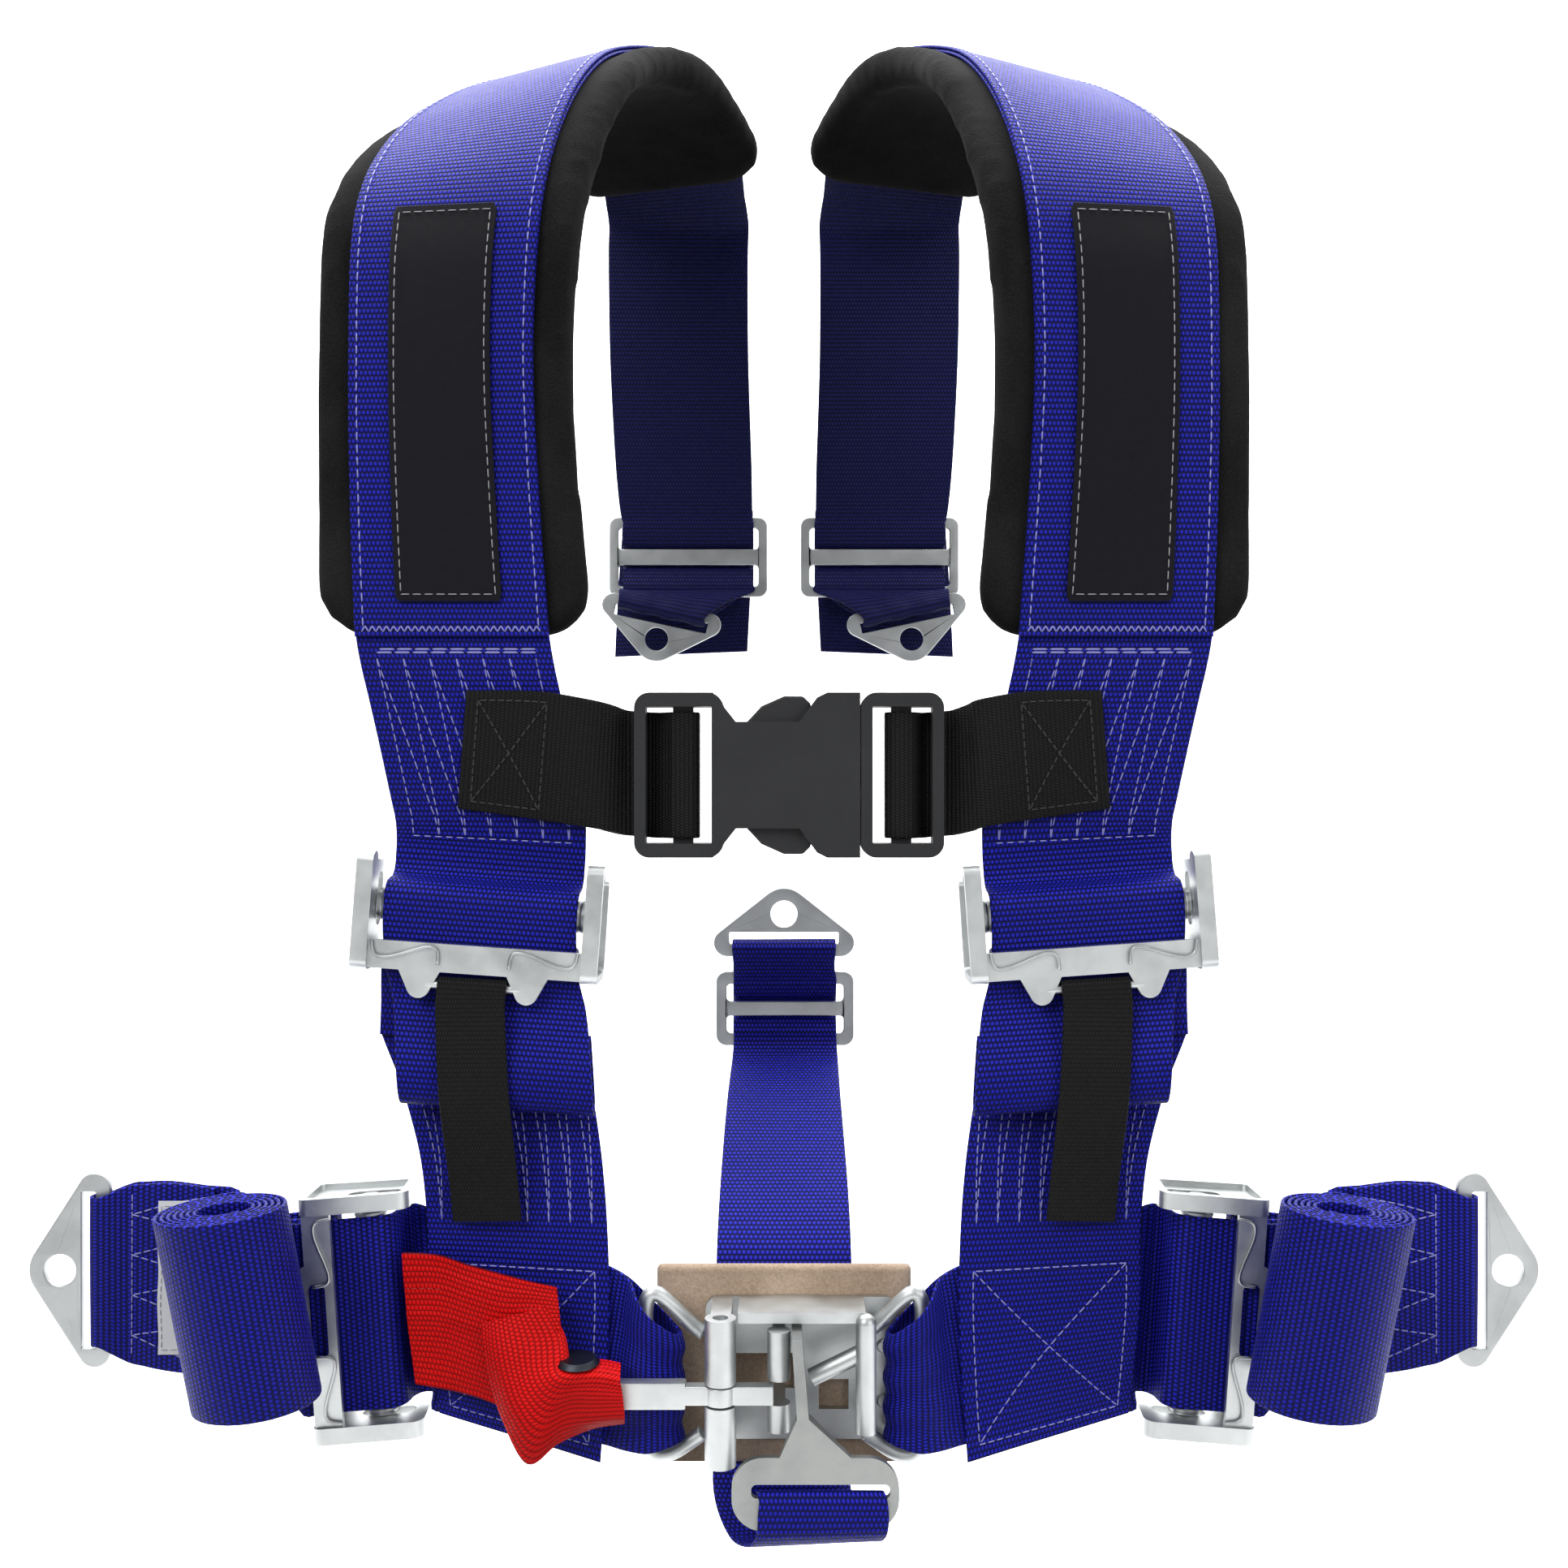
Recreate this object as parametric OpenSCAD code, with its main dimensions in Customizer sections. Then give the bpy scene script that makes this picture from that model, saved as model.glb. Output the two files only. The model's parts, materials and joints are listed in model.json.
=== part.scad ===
// Five-point racing harness, worn pose: two padded shoulder straps, a chest clip,
// a lap belt with latch buckle and an anti-submarine strap. Millimetres, +Z up,
// the wearer faces -Y, and the origin is the centre of the chest clip.

/* [Webbing] */
// Width of the shoulder and lap webbing
web_w = 76; // [60:1:92]
// Thickness of all webbing
web_t = 1.4; // [1:0.1:1.8]
// Width of the chest and crotch webbing
narrow_w = 50; // [40:1:60]
// Gap left between sewn layers
sew_gap = 0.4; // [0.3:0.1:0.6]
// Width of a pull tab
pull_w = 27; // [20:1:32]

/* [Shoulder pads] */
// Width of the foam pad
pad_w = 111; // [96:1:134]
// Thickness of the foam pad
pad_t = 14; // [11:1:17]
// Width of the sewn patch on the cover
patch_w = 42; // [30:1:52]
// Thickness of the patch
patch_t = 0.8; // [0.6:0.1:1.2]

/* [Adjusters] */
// Wall thickness of an adjuster cheek
cheek_t = 4; // [3:0.5:5]
// Side clearance between webbing and cheek
cheek_gap = 3.5; // [2.5:0.5:6]
// Height of the raised rim round a cheek
rim_t = 2.5; // [1.5:0.5:3.5]
// Diameter of the knurled slide bar
bar_d = 13; // [11:0.5:14]
// Diameter of the bar's ends
tenon_d = 7; // [5.5:0.5:7.5]
// Travel of the slide bar
bar_travel = 2.5; // [1.5:0.5:2.5]
// Diameter of the fixed rear bar
rear_bar_d = 6; // [5:0.5:6.5]

/* [Anchors and slides] */
// Thickness of the anchor plates and slides
plate_t = 3; // [2.5:0.5:3.5]
// Width that the rear webbing is gathered to at its anchor
gather_w = 50; // [42:1:58]
// Diameter of the bolt hole in each anchor plate
bolt_d = 13; // [10.5:0.5:14]
// Metal left around the bolt hole
bolt_rim = 6; // [4:0.5:8]

/* [Chest clip] */
// Height of the clip
clip_h = 65; // [58:1:74]
// Thickness of the clip
clip_t = 14; // [12:1:17]
// Wall of the hollow socket
clip_wall = 2.6; // [2:0.2:3]

/* [Latch] */
// Diameter of the link wire
wire_d = 6.4; // [5:0.2:7]
// Diameter of the lever's hinge pin
pin_d = 6; // [5:0.5:7]
// Outer diameter of the hinge knuckles
knuckle_d = 12.2; // [11:0.2:13]
// Thickness of the latch base
base_t = 3; // [2:0.5:4]

/* [Hidden] */
$fn = 48;
SIDES = ["left", "right"];
PAIRED = ["pad_foam", "pad_cover", "pad_patch", "shoulder_strap", "rear_slide", "rear_anchor",
    "chest_webbing", "shoulder_adjuster", "shoulder_bar", "shoulder_spring", "pull_tab",
    "lower_strap", "lap_strap", "lap_adjuster", "lap_bar", "lap_spring", "lap_end_strap",
    "lap_anchor"];
CENTRE = ["date_tag", "chest_socket", "chest_plug", "chest_prong_upper", "chest_prong_lower",
    "latch_body", "latch_lever", "lever_pin", "left_link", "right_link", "link_rivets",
    "sub_hook", "buckle_pad", "sub_strap", "sub_slide", "sub_anchor", "red_tab", "tab_rivet"];

// ---- Derived sizes ----
half_web = web_w / 2;
half_narrow = narrow_w / 2;
cheek_in = half_web + cheek_gap;
cheek_out = cheek_in + cheek_t;
wrap_r = bar_d / 2 + 0.4 + web_t / 2;                // centreline of webbing round the slide bar
strip_h = 6;                                         // strip of an anchor plate that webbing loops round
loop_r = norm([strip_h, plate_t]) / 2 + 0.65 + web_t / 2;
run_gap = 0.05;                                      // radial clearance of a hinge pin
rear_bar = [6, -20];                                 // y and z of the adjuster's rear bar
face_plate = [-11, -13, -24];                        // back face, top and foot of the front plate
tab_rod = [-12, -29];                                // y and z of the rod that carries the pull tab

// ---- Places ----
shoulder_at = [-119, -2, -53.5];
shoulder_turn = 4;
lap_at = [-124 - half_web, 2, -212];
lap_turn = 86;
rear_strip_at = [-68, 265, 95];
rear_turn = 12;
rear_slide_at = [-54, 270, 124.5];
sub_strip_at = [0, 141, -84];
sub_slide_at = [0.5, 146, -113];
lap_strip_at = [-238.5 - half_web, 15, -201];
hole_drop = 17.5;                                    // strip centre to bolt centre
pivot = [-24.6, -17];                                // lever hinge, x and y
lever_z = -239.5;
roll_at = [-46, -38];                                // webbing roll centre in the adjuster's y and z
roll_r = 24;
roll_lean = [-18, 0.18, 0.05];                       // the roll's rise, and how its axis leans
rod_x = -55;                                         // upright of the wire link

// ---- Vector helpers ----
function turned(a, p) = [p[0] * cos(a) + p[2] * sin(a), p[1], p[2] * cos(a) - p[0] * sin(a)];
function at(s) = [s[0], s[1], s[2]];
function half_of(s) = [s[3], s[4], s[5]];
function placed(where, a, s) = concat(where + turned(a, at(s)), turned(a, half_of(s)));
// A station of a strap in an adjuster's own frame: y, z and its share of full width
function local(y, z, w = 1) = [0, y, z, w, 0, 0];
function blend3(a, b, c, d, t) =
    0.5 * ((2 * b) + (c - a) * t + (2 * a - 5 * b + 4 * c - d) * t * t
    + (3 * b - a - 3 * c + d) * t * t * t);
function smooth(s, n = 4) = let (e = len(s) - 1) concat(
    [for (i = [0:e - 1]) for (k = [0:n - 1])
        blend3(s[max(i - 1, 0)], s[i], s[i + 1], s[min(i + 2, e)], k / n)], [s[e]]);
function span(s, i) = at(s[min(i + 1, len(s) - 1)]) - at(s[max(i - 1, 0)]);
function unit(v) = v / norm(v);
function face_of(s, i) = unit(cross(span(s, i), half_of(s[i])));
// Shifts each station along its own face normal, to lay one layer on another
function layered(s, d) = [for (i = [0:len(s) - 1]) concat(at(s[i]) + face_of(s, i) * d, half_of(s[i]))];

// Sweeps a closed section along stations; u scales the station's half width, v is in millimetres.
// Both faces of a band are split along the same diagonal, so that laid layers stay parallel.
module sweep(s, half_w, section) {
    m = len(section);
    n = len(s);
    points = [for (i = [0:n - 1]) for (p = section)
        at(s[i]) + half_of(s[i]) * half_w * p[0] + face_of(s, i) * p[1]];
    sides = [for (i = [0:n - 2]) for (j = [0:m - 1])
        let (k = (j + 1) % m, a = i * m + j, b = a + m, c = (i + 1) * m + k, d = i * m + k)
        each section[k][0] > section[j][0] ? [[a, b, c], [a, c, d]] : [[a, b, d], [b, c, d]]];
    caps = [[for (j = [0:m - 1]) j], [for (j = [m - 1:-1:0]) (n - 1) * m + j]];
    polyhedron(points, concat(sides, caps), convexity = 8);
}
module ribbon(s, half_w = half_web, t = web_t)
    sweep(s, half_w, [[-1, -t / 2], [1, -t / 2], [1, t / 2], [-1, t / 2]]);
// A round wire along plain points
module wire(points, d, n = 8, steps = 3) {
    s = smooth([for (p = points) concat(p, [0, 1, 0])], steps);
    ring = [for (i = [0:len(s) - 1]) let (t = unit(span(s, i)),
        side = abs(t[1]) > 0.9 ? [1, 0, 0] : [0, 1, 0], w = unit(cross(cross(t, side), t)))
        concat(at(s[i]), w)];
    sweep(ring, 1, [for (k = [0:n - 1]) [cos(360 * k / n) * d / 2, sin(360 * k / n) * d / 2]]);
}
module side(s) {
    if (s == "left") children();
    else mirror([1, 0, 0]) children();
}
module put(where, a) translate(where) rotate([0, a, 0]) children();
// Turns a flat x, z outline into a plate that is t thick and centred on y = 0
module upright(t) rotate([90, 0, 0]) translate([0, 0, -t / 2]) linear_extrude(t) children();
module rounded(w, h, r) hull() for (x = [-1, 1], z = [-1, 1])
    translate([x * (w / 2 - r), z * (h / 2 - r)]) circle(r);

// ---- Routes, from the adjuster up over the shoulder and down the back ----
// Foam centreline over the shoulder, with the direction across it towards the neck
PAD = [[-130, 0, 54.5, 1, 0, 0], [-132.5, -2, 108, 0.97, 0, 0], [-133, -5, 165, 0.95, -0.05, 0],
    [-130.5, -1, 219, 0.98, -0.12, 0], [-123, 20, 257, 0.98, -0.24, 0.05],
    [-112, 50, 287, 0.94, -0.34, 0.08], [-99, 88, 311, 0.86, -0.36, 0.05],
    [-83, 125, 326, 0.87, -0.38, 0], [-73, 164, 325, 0.93, -0.42, -0.03],
    [-61, 208, 312, 0.99, -0.38, -0.03]];
PAD_PATH = smooth(PAD, 3);
strap_lift = pad_t / 2 + sew_gap + web_t / 2;
cover_lift = strap_lift + web_t + sew_gap;
UNDER_COVER = layered(PAD_PATH, -strap_lift);
patch_span = [1:9];                                  // rings of the pad path that the patch covers
BAR_TURN = concat([for (a = [0:30:90]) local(-wrap_r * cos(a), bar_travel + wrap_r * sin(a))],
    [local(4.3, bar_travel + wrap_r + 0.9)]);
BAR_WRAP = [each [for (q = [[8.5, -4.6, -46], [10.5, -5.2, -60], [12, -6.5, -71], [12.5, -10.5, -75.5],
    [12, -14.5, -70], [10.5, -15, -58], [8, -10, -44], [5.5, -6.6, -34], [2.4, -6.9, -24],
    [0.4, -wrap_r + 0.2, -9]]) concat(q, [1, 0, 0])], each BAR_TURN, local(7.6, 15.5), local(7, 25)];
CHEST = [[-117, 2.5, -18, 1, 0, 0], [-120, -1, 0, 1, 0, 0], [-124, -4.5, 22, 1, 0, 0],
    [-128, -7.3, 42, 1, 0, 0]];
BACK = [[-58.5, 223, 309, 0.99, -0.2, 0], [-57, 232, 299, 1, -0.06, 0], [-57.5, 236, 284, 1, 0, 0],
    [-57.5, 244, 230, 1, 0, 0], [-56, 258, 175, 1, 0, 0], [-55, 266.6, 150, 0.98, 0, 0]];
weave = plate_t / 2 + 0.35 + web_t / 2;
// Passes in front of a slide's outer rails and behind its middle bar
function woven(slide_at, rail, bar, w, way) = [for (q = [[rail, -weave - 0.1], [rail - 3.5, -weave + 0.2],
    [bar + 3, 0.3], [bar + 0.7, weave], [0, weave + 0.2], [-bar - 0.7, weave], [-bar - 3, 0.3],
    [3.5 - rail, -weave + 0.2], [-rail, -weave - 0.1]]) concat(slide_at + [0, q[1], q[0] * way], [w, 0, 0])];
REAR_LOOP = concat(woven(rear_slide_at, 19.5, 4.5, 0.97, 1), [[-62, 262.9, 102, 0.8, 0, -0.09]],
    [for (a = [0:45:180]) placed(rear_strip_at, rear_turn,
        [0, -loop_r * cos(a), -loop_r * sin(a), gather_w / web_w, 0, 0])],
    [[-66.5, 271.8, 97.6, 0.7, 0, -0.12], [-62, 275.6, 101.8, 0.8, 0, -0.1], [-56, 277.2, 110, 0.92, 0, 0],
    [-55, 277.5, 128, 0.98, 0, 0], [-55, 277.5, 146, 0.98, 0, 0], [-55, 280, 152, 0.98, 0, 0],
    [-55, 282.5, 146, 0.98, 0, 0], [-57, 283.4, 110, 1, 0, 0.02], [-59, 284, 71, 1, 0, 0.04]]);
SHOULDER = concat(smooth([for (s = BAR_WRAP) placed(shoulder_at, shoulder_turn, s)], 2),
    smooth(CHEST, 2), UNDER_COVER, smooth(concat(BACK, REAR_LOOP), 2));
// Short strap that hangs the adjuster's rear bar, looped and sewn double
ROD_LOOP = [local(1.6, -52), local(0, -40), local(-3.2, -28), local(-3.9, -20), local(-1.4, -15),
    local(4.5, -13.6), local(9.2, -16), local(10.2, -20.5), local(9.6, -27), local(6.4, -39),
    local(3.8, -52)];
LOWER = concat(smooth([for (s = ROD_LOOP) placed(shoulder_at, shoulder_turn, s)], 3),
    smooth([[-115, 2, -122, 1, 0, 0], [-108.5, -1.2, -150, 0.95, 0, 0], [-105.5, -2.4, -180, 0.94, 0, -0.03],
        [-105, -2.6, -215, 0.94, 0, -0.1], [-104.5, -2.6, -262, 0.84, 0, -0.26]], 3));
// Lap webbing: the roll of spare, round the slide bar, then in to the latch link
function leant(y, z, t) = [roll_lean[0] * t, y, z, 1, roll_lean[1] * t, roll_lean[2] * t];
ROLL = [for (a = [2400:-30:0]) let (r = roll_r - 2.25 * a / 360) leant(
    roll_at[0] + r * cos(a), roll_at[1] - r * sin(a), 1)];
LAP_WRAP = concat(ROLL, [leant(-14.4, -34, 0.5), local(-9.2, -29.5), local(-8.4, -22),
    local(-wrap_r + 0.1, -10)], BAR_TURN, [local(8.2, 14), local(6, 19)]);
LINK_LOOP = [[lap_at[0] + 30, 2.2, -216, -0.22, 0, -0.97], [-105, 0.2, -222, -0.22, 0, -0.97],
    [-84, 0.3, -228, -0.2, 0, -0.95], [-74, 0.5, -230.5, -0.17, 0, -0.9],
    [-66.5, -0.8, -233, -0.13, 0, -0.86],
    [-60, -7, -236, -0.05, 0, -0.78], [-53, -9.5, -239, 0, 0, -0.7], [-44, -7, -241.5, 0, 0, -0.58],
    [-40.5, 0, -242, 0, 0, -0.55], [-45, 6.6, -241, 0, 0, -0.6], [-56, 8.6, -238, -0.05, 0, -0.74],
    [-67, 6.8, -233.5, -0.13, 0, -0.84], [-77, 3.9, -230, -0.17, 0, -0.9],
    [-90, 2.9, -226.5, -0.2, 0, -0.92], [-108, 2.6, -222, -0.22, 0, -0.92]];
LAP = concat([for (s = LAP_WRAP) placed(lap_at, lap_turn, s)], smooth(LINK_LOOP, 3));
LAP_END = concat(smooth([for (s = ROD_LOOP) placed(lap_at, lap_turn, s)], 3),
    smooth([[lap_at[0] - 60, 12.4, -206, -0.03, 0, -1],
        [lap_strip_at[0] + 26.5, 15.6, -203, -0.03, 0, -1],
        [lap_strip_at[0] + 10.5, 17.5, -202, 0, 0, -0.94]], 2),
    [for (a = [180:-45:0]) placed(lap_strip_at, 90,
        [0, -loop_r * cos(a), -loop_r * sin(a), 0.8, 0, 0])],
    smooth([[lap_strip_at[0] + 10.5, 12.3, -202, 0, 0, -0.94],
        [lap_strip_at[0] + 26.5, 12.1, -203, -0.03, 0, -1],
        [lap_strip_at[0] + 45.5, 11.3, -205, -0.03, 0, -1]], 2));
// Crotch webbing, from the hook round under the buckle and back up to its slide and anchor
SUB = smooth(concat([[13, -21.7, -288, 1, 0, 0], [13.5, -21.7, -281, 1, 0, 0],
    [14, -21.9, -277, 0.98, 0, 0], [14, -22.9, -275, 0.98, 0, 0], [14.5, -24.5, -274.5, 0.96, 0, 0],
    [14.5, -26.1, -275, 0.98, 0, 0], [15, -27.1, -277, 0.98, 0, 0], [15, -27.5, -282, 1, 0, 0],
    [14.5, -27, -289, 1, 0, 0.02], [12, -21, -295, 1.02, 0, 0.04], [6, -12, -296.5, 1.06, 0, 0.06],
    [1, 2, -292, 1.1, 0, 0.05], [-1, 14, -287.5, 1.12, 0, 0], [-1, 20.5, -279, 1.12, 0, 0],
    [-1, 23, -266, 1.12, 0, 0],
    [0, 24, -240, 1.12, 0, 0], [0, 28, -200, 1.12, 0, 0], [0, 60, -174, 1.1, 0, 0],
    [0, 104, -149, 1.05, 0, 0], [0.5, 136, -136, 1.02, 0, 0]],
    woven(sub_slide_at, 15, 3.5, 1, -1), [[0, 140, -92, 0.98, 0, 0]],
    [for (a = [0:45:180]) placed(sub_strip_at, 180, [0, -loop_r * cos(a), -loop_r * sin(a), -1, 0, 0])],
    [[0, 147.4, -88, 0.98, 0, 0], [0, 151, -94, 1, 0, 0], [0, 152, -106, 1, 0, 0],
        [0, 152, -132, 1, 0, 0]]), 2);

// ---- Shoulder pads ----
module pad_foam(s) side(s) color("#1e1e1e") {
    h = pad_t / 2;
    e = h / (pad_w / 2);
    u = web_w / pad_w;
    arc = concat([[u, -h]], [for (a = [-75:30:75]) [1 - e + e * cos(a), h * sin(a)]], [[u, h]]);
    sweep(PAD_PATH, pad_w / 2, concat(arc, [for (p = arc) -p]));
}
module pad_cover(s) side(s) color("#2a20b8") ribbon(layered(PAD_PATH, -cover_lift));
module pad_patch(s) side(s) color("#15151c") {
    lift = cover_lift + web_t / 2 + 0.75 + patch_t / 2;
    path = layered(PAD_PATH, -lift);
    ribbon([for (i = patch_span) path[i]], patch_w / 2, patch_t);
}

// ---- Straps ----
module shoulder_strap(s) side(s) color("#1c1590") ribbon(SHOULDER);
module lower_strap(s) side(s) color("#1c1590") ribbon(LOWER);
module lap_strap(s) side(s) color("#1c1590") ribbon(LAP);
module lap_end_strap(s) side(s) color("#1c1590") ribbon(LAP_END);
module sub_strap() color("#1c1590") ribbon(SUB, half_narrow);
// A black pull tab that hangs from the adjuster's rod and drapes over the spare webbing
module pull_tab(s) side(s) color("#141414") {
    eye = 1.5 + 0.5 + web_t / 2;
    loop = concat([for (a = [-60:40:180]) local(tab_rod[0] + eye * cos(a), tab_rod[1] + eye * sin(a))],
        [for (q = [[-15, -36], [-17, -47], [-18.2, -58], [-18, -70], [-15, -84], [-9.6, -102],
            [-6, -121]]) [-0.13 * (q[1] + 36), q[0], q[1], 1, 0, 0.08]]);
    ribbon([for (q = smooth(loop, 2)) placed(shoulder_at, shoulder_turn, q)], pull_w / 2);
}
// Chest webbing, sewn to the shoulder strap, behind the clip's outer rail and round its bar
module chest_webbing(s) side(s) color("#101012") {
    bar = s == "left" ? socket_bar : -plug_bar;
    rail = (s == "left" ? -clip_end : -plug_end) + rail_w / 2;
    ribbon(smooth([[-127, -4.5, 10, -0.1, 0.16, -0.93], [-100, -4.5, 8, -0.1, 0.16, -1],
        [-80, -4.6, 5, -0.1, 0.13, -1], [rail - 13, -1.6, 3, -0.05, 0.05, -1], [rail - 6, 2.6, 1, 0, 0, -1],
        [rail, 3.3, 0.5, 0, 0, -1], [rail + 5, 2.4, 0, 0, 0, -1], [bar - 6, -1.8, 0, 0, 0, -1],
        [bar - 3.4, -4.1, 0, 0, 0, -1], [bar + 3.4, -4.1, 0, 0, 0, -1], [bar + 5.9, -1.2, 0, 0, 0, -1],
        [bar + 5, 3.4, 0, 0, 0, -1], [bar, 5, 0, 0, 0, -1], [bar - 6, 5.3, 0, 0, 0, -1],
        [rail, 5.5, 0.5, 0, 0, -1], [rail - 8, 5.3, 1, 0, 0, -1], [rail - 15, 3.4, 3, -0.05, 0, -1]], 3),
        half_narrow);
}
module date_tag() color("white") translate([lap_strip_at[0] + 30.5, 10.6, -203]) rotate([90, 0, -2.4])
    linear_extrude(0.4, center = true) square([14, 62], center = true);

// ---- Adjusters, in their own frame: x along the bar, y to the back, z to the upper strap ----
// Outline of a cheek in y and z, with a lobe at the front that reaches up by the given height
module cheek_outline(lobe) {
    hull() {
        translate([-9, 13]) circle(5);
        translate([7, 12]) circle(5);
        translate([8, -20]) circle(5);
        translate([-11, -21]) circle(4);
    }
    hull() for (z = [12, lobe]) translate([-9.8, z]) circle(4.2);
}
module cheek_plate(lobe) difference() {
    union() {
        linear_extrude(cheek_t) cheek_outline(lobe);
        linear_extrude(cheek_t + rim_t) difference() {
            cheek_outline(lobe);
            offset(-3) cheek_outline(lobe);
        }
    }
    translate([0, 0, -1]) hull() for (z = [-5, 9]) translate([0, z, 0])
        cylinder(d = tenon_d + 0.3, h = cheek_t + 2);
}
module adjuster_frame(lobe) {
    for (m = [0, 1]) mirror([m, 0, 0]) translate([cheek_in, 0, 0]) rotate([90, 0, 90]) cheek_plate(lobe);
    translate([-cheek_in - 0.5, rear_bar[0], rear_bar[1]]) rotate([0, 90, 0])
        cylinder(d = rear_bar_d, h = 2 * cheek_in + 1);
    translate([-cheek_in - 0.5, face_plate[0] - 2.4, face_plate[2]])
        cube([2 * cheek_in + 1, 2.4, face_plate[1] - face_plate[2]]);
}
module shoulder_adjuster(s) side(s) color("#b9bdbd") put(shoulder_at, shoulder_turn) {
    adjuster_frame(17);
    for (m = [-1, 1]) translate([m * (pull_w / 2 + 7.5), face_plate[0] - 1.2, 0]) upright(2.4) hull() {
        translate([0, -23.5]) square([16, 1], center = true);
        translate([0, -30]) circle(4.5);
    }
    translate([-pull_w / 2 - 5, tab_rod[0], tab_rod[1]]) rotate([0, 90, 0])
        cylinder(d = 3, h = pull_w + 10);
}
module lap_adjuster(s) side(s) color("#b9bdbd") put(lap_at, lap_turn) difference() {
    union() {
        adjuster_frame(13.5);
        translate([0, face_plate[0] - 1.2, -18]) upright(2.4) rounded(2 * cheek_in, 10, 3);
        translate([0, face_plate[0] - 1.2, -20.5]) upright(2.4) rounded(43, 14, 4);
    }
    translate([0, face_plate[0] - 1.2, -20]) upright(5) rounded(29, 7, 3);
}
module slide_bar() color("#a9acac") {
    rotate([0, 90, 0]) cylinder(d = bar_d, h = 2 * cheek_in - 0.6, center = true);
    rotate([0, 90, 0]) cylinder(d = tenon_d, h = 2 * cheek_out - 0.4, center = true);
}
module shoulder_bar(s) side(s) put(shoulder_at, shoulder_turn) slide_bar();
module lap_bar(s) side(s) put(lap_at, lap_turn) slide_bar();
module bar_spring() color("#c8cccc") for (m = [0, 1]) mirror([m, 0, 0]) {
    y = face_plate[0] - 2.4 - 0.9;
    wire([[-cheek_in + 1.5, y, -13], [-cheek_in + 3, y, -18.5], [-cheek_in + 9, y, -19],
        [-19, y, -14.5], [-14.5, y, -15.5], [-13.8, y, -21]], 1.3, 6, 3);
}
module shoulder_spring(s) side(s) put(shoulder_at, shoulder_turn) bar_spring();
module lap_spring(s) side(s) put(lap_at, lap_turn) bar_spring();

// ---- Anchor plates and three-bar slides ----
// The strip centre is the frame's origin and the bolt hole lies below it
module anchor_plate(slot_w) {
    nose_r = bolt_d / 2 + bolt_rim;
    difference() {
        upright(plate_t) hull() {
            for (x = [-1, 1]) translate([x * (slot_w / 2 + 1), -3.5]) circle(strip_h / 2 + 3.5);
            translate([0, -hole_drop]) circle(nose_r);
        }
        translate([-slot_w / 2 - 8, -plate_t, strip_h / 2]) cube([slot_w + 16, 2 * plate_t, 8]);
        translate([-slot_w / 2, -plate_t, -strip_h / 2 - 5.7]) cube([slot_w, 2 * plate_t, 5.7]);
        translate([0, 0, -hole_drop]) rotate([90, 0, 0])
            cylinder(d = bolt_d, h = 3 * plate_t, center = true);
    }
}
module rear_anchor(s) side(s) color("#aeb2b2") put(rear_strip_at, rear_turn) anchor_plate(gather_w + 3);
module lap_anchor(s) side(s) color("#aeb2b2") put(lap_strip_at, 90) anchor_plate(web_w * 0.8 + 3);
module sub_anchor() color("#aeb2b2") put(sub_strip_at, 180) anchor_plate(narrow_w + 3);
module slide(strap_w, h, bar) {
    gap = (h - bar) / 2 - 6;
    upright(plate_t) difference() {
        rounded(strap_w + 13, h, 5);
        for (z = [-1, 1]) translate([0, z * (bar + gap) / 2]) rounded(strap_w + 3, gap, 2);
    }
}
module rear_slide(s) side(s) color("#aeb2b2") translate(rear_slide_at) slide(web_w, 45, 9);
module sub_slide() color("#aeb2b2") translate(sub_slide_at) slide(narrow_w + 4, 36, 7);

// ---- Chest clip ----
clip_end = 59;                                       // clip centre to the end of the socket's frame
seam_x = 30;                                         // where plug and socket meet
plug_end = seam_x + 33;
rail_w = 4.5;
socket_bar = -40;
plug_bar = 46.5;
clip_inner = narrow_w + 4;                           // clear height inside a ladder frame
ladder_h = clip_inner + 11;
// A frame with two windows either side of a thin bar; its outer rail is open behind for the webbing
module ladder(x0, x1, bar_x, outer) difference() {
    upright(clip_t) translate([(x0 + x1) / 2, 0]) rounded(x1 - x0, ladder_h, 6);
    for (r = [[x0 + rail_w, bar_x - 4], [bar_x + 4, x1 - rail_w]])
        translate([r[0], -clip_t, -clip_inner / 2]) cube([r[1] - r[0], 2 * clip_t, clip_inner]);
    for (y = [2.4, -clip_t - 2.4]) translate([x0 + rail_w, y, -clip_inner / 2])
        cube([x1 - x0 - 2 * rail_w, clip_t, clip_inner]);
    translate([outer - rail_w - 1, 2, -clip_inner / 2]) cube([2 * rail_w + 2, clip_t, clip_inner]);
}
module chest_socket() color("#2b2c2e") {
    h = clip_h / 2;
    difference() {
        union() {
            ladder(-clip_end, -24, socket_bar, -clip_end);
            upright(clip_t) polygon([[-30, -h], [-28, -h], [-19, -h + 11.5], [6, -h + 11.5],
                [13, -h + 2], [17, -h], [seam_x, -h], [seam_x, h], [17, h], [13, h - 2], [6, h - 11.5],
                [-19, h - 11.5], [-28, h], [-30, h]]);
        }
        translate([-20, -clip_t / 2 + clip_wall, -h + 3.5])
            cube([seam_x + 21, clip_t - 2 * clip_wall, clip_h - 7]);
        translate([-34, -clip_t, -h + 5.5]) cube([5.5, 2 * clip_t, clip_h - 11]);
    }
}
prong_pivot = [26, 13];                              // x and height of the prong's root
module chest_plug() color("#2b2c2e") {
    ladder(seam_x + 0.4, plug_end, plug_bar, plug_end);
    translate([-14, -3, -3.5]) cube([seam_x + 18, 6, 7]);
}
module prong(up) color("#242527") mirror([0, 0, up ? 0 : 1]) upright(6) hull_free();
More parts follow.
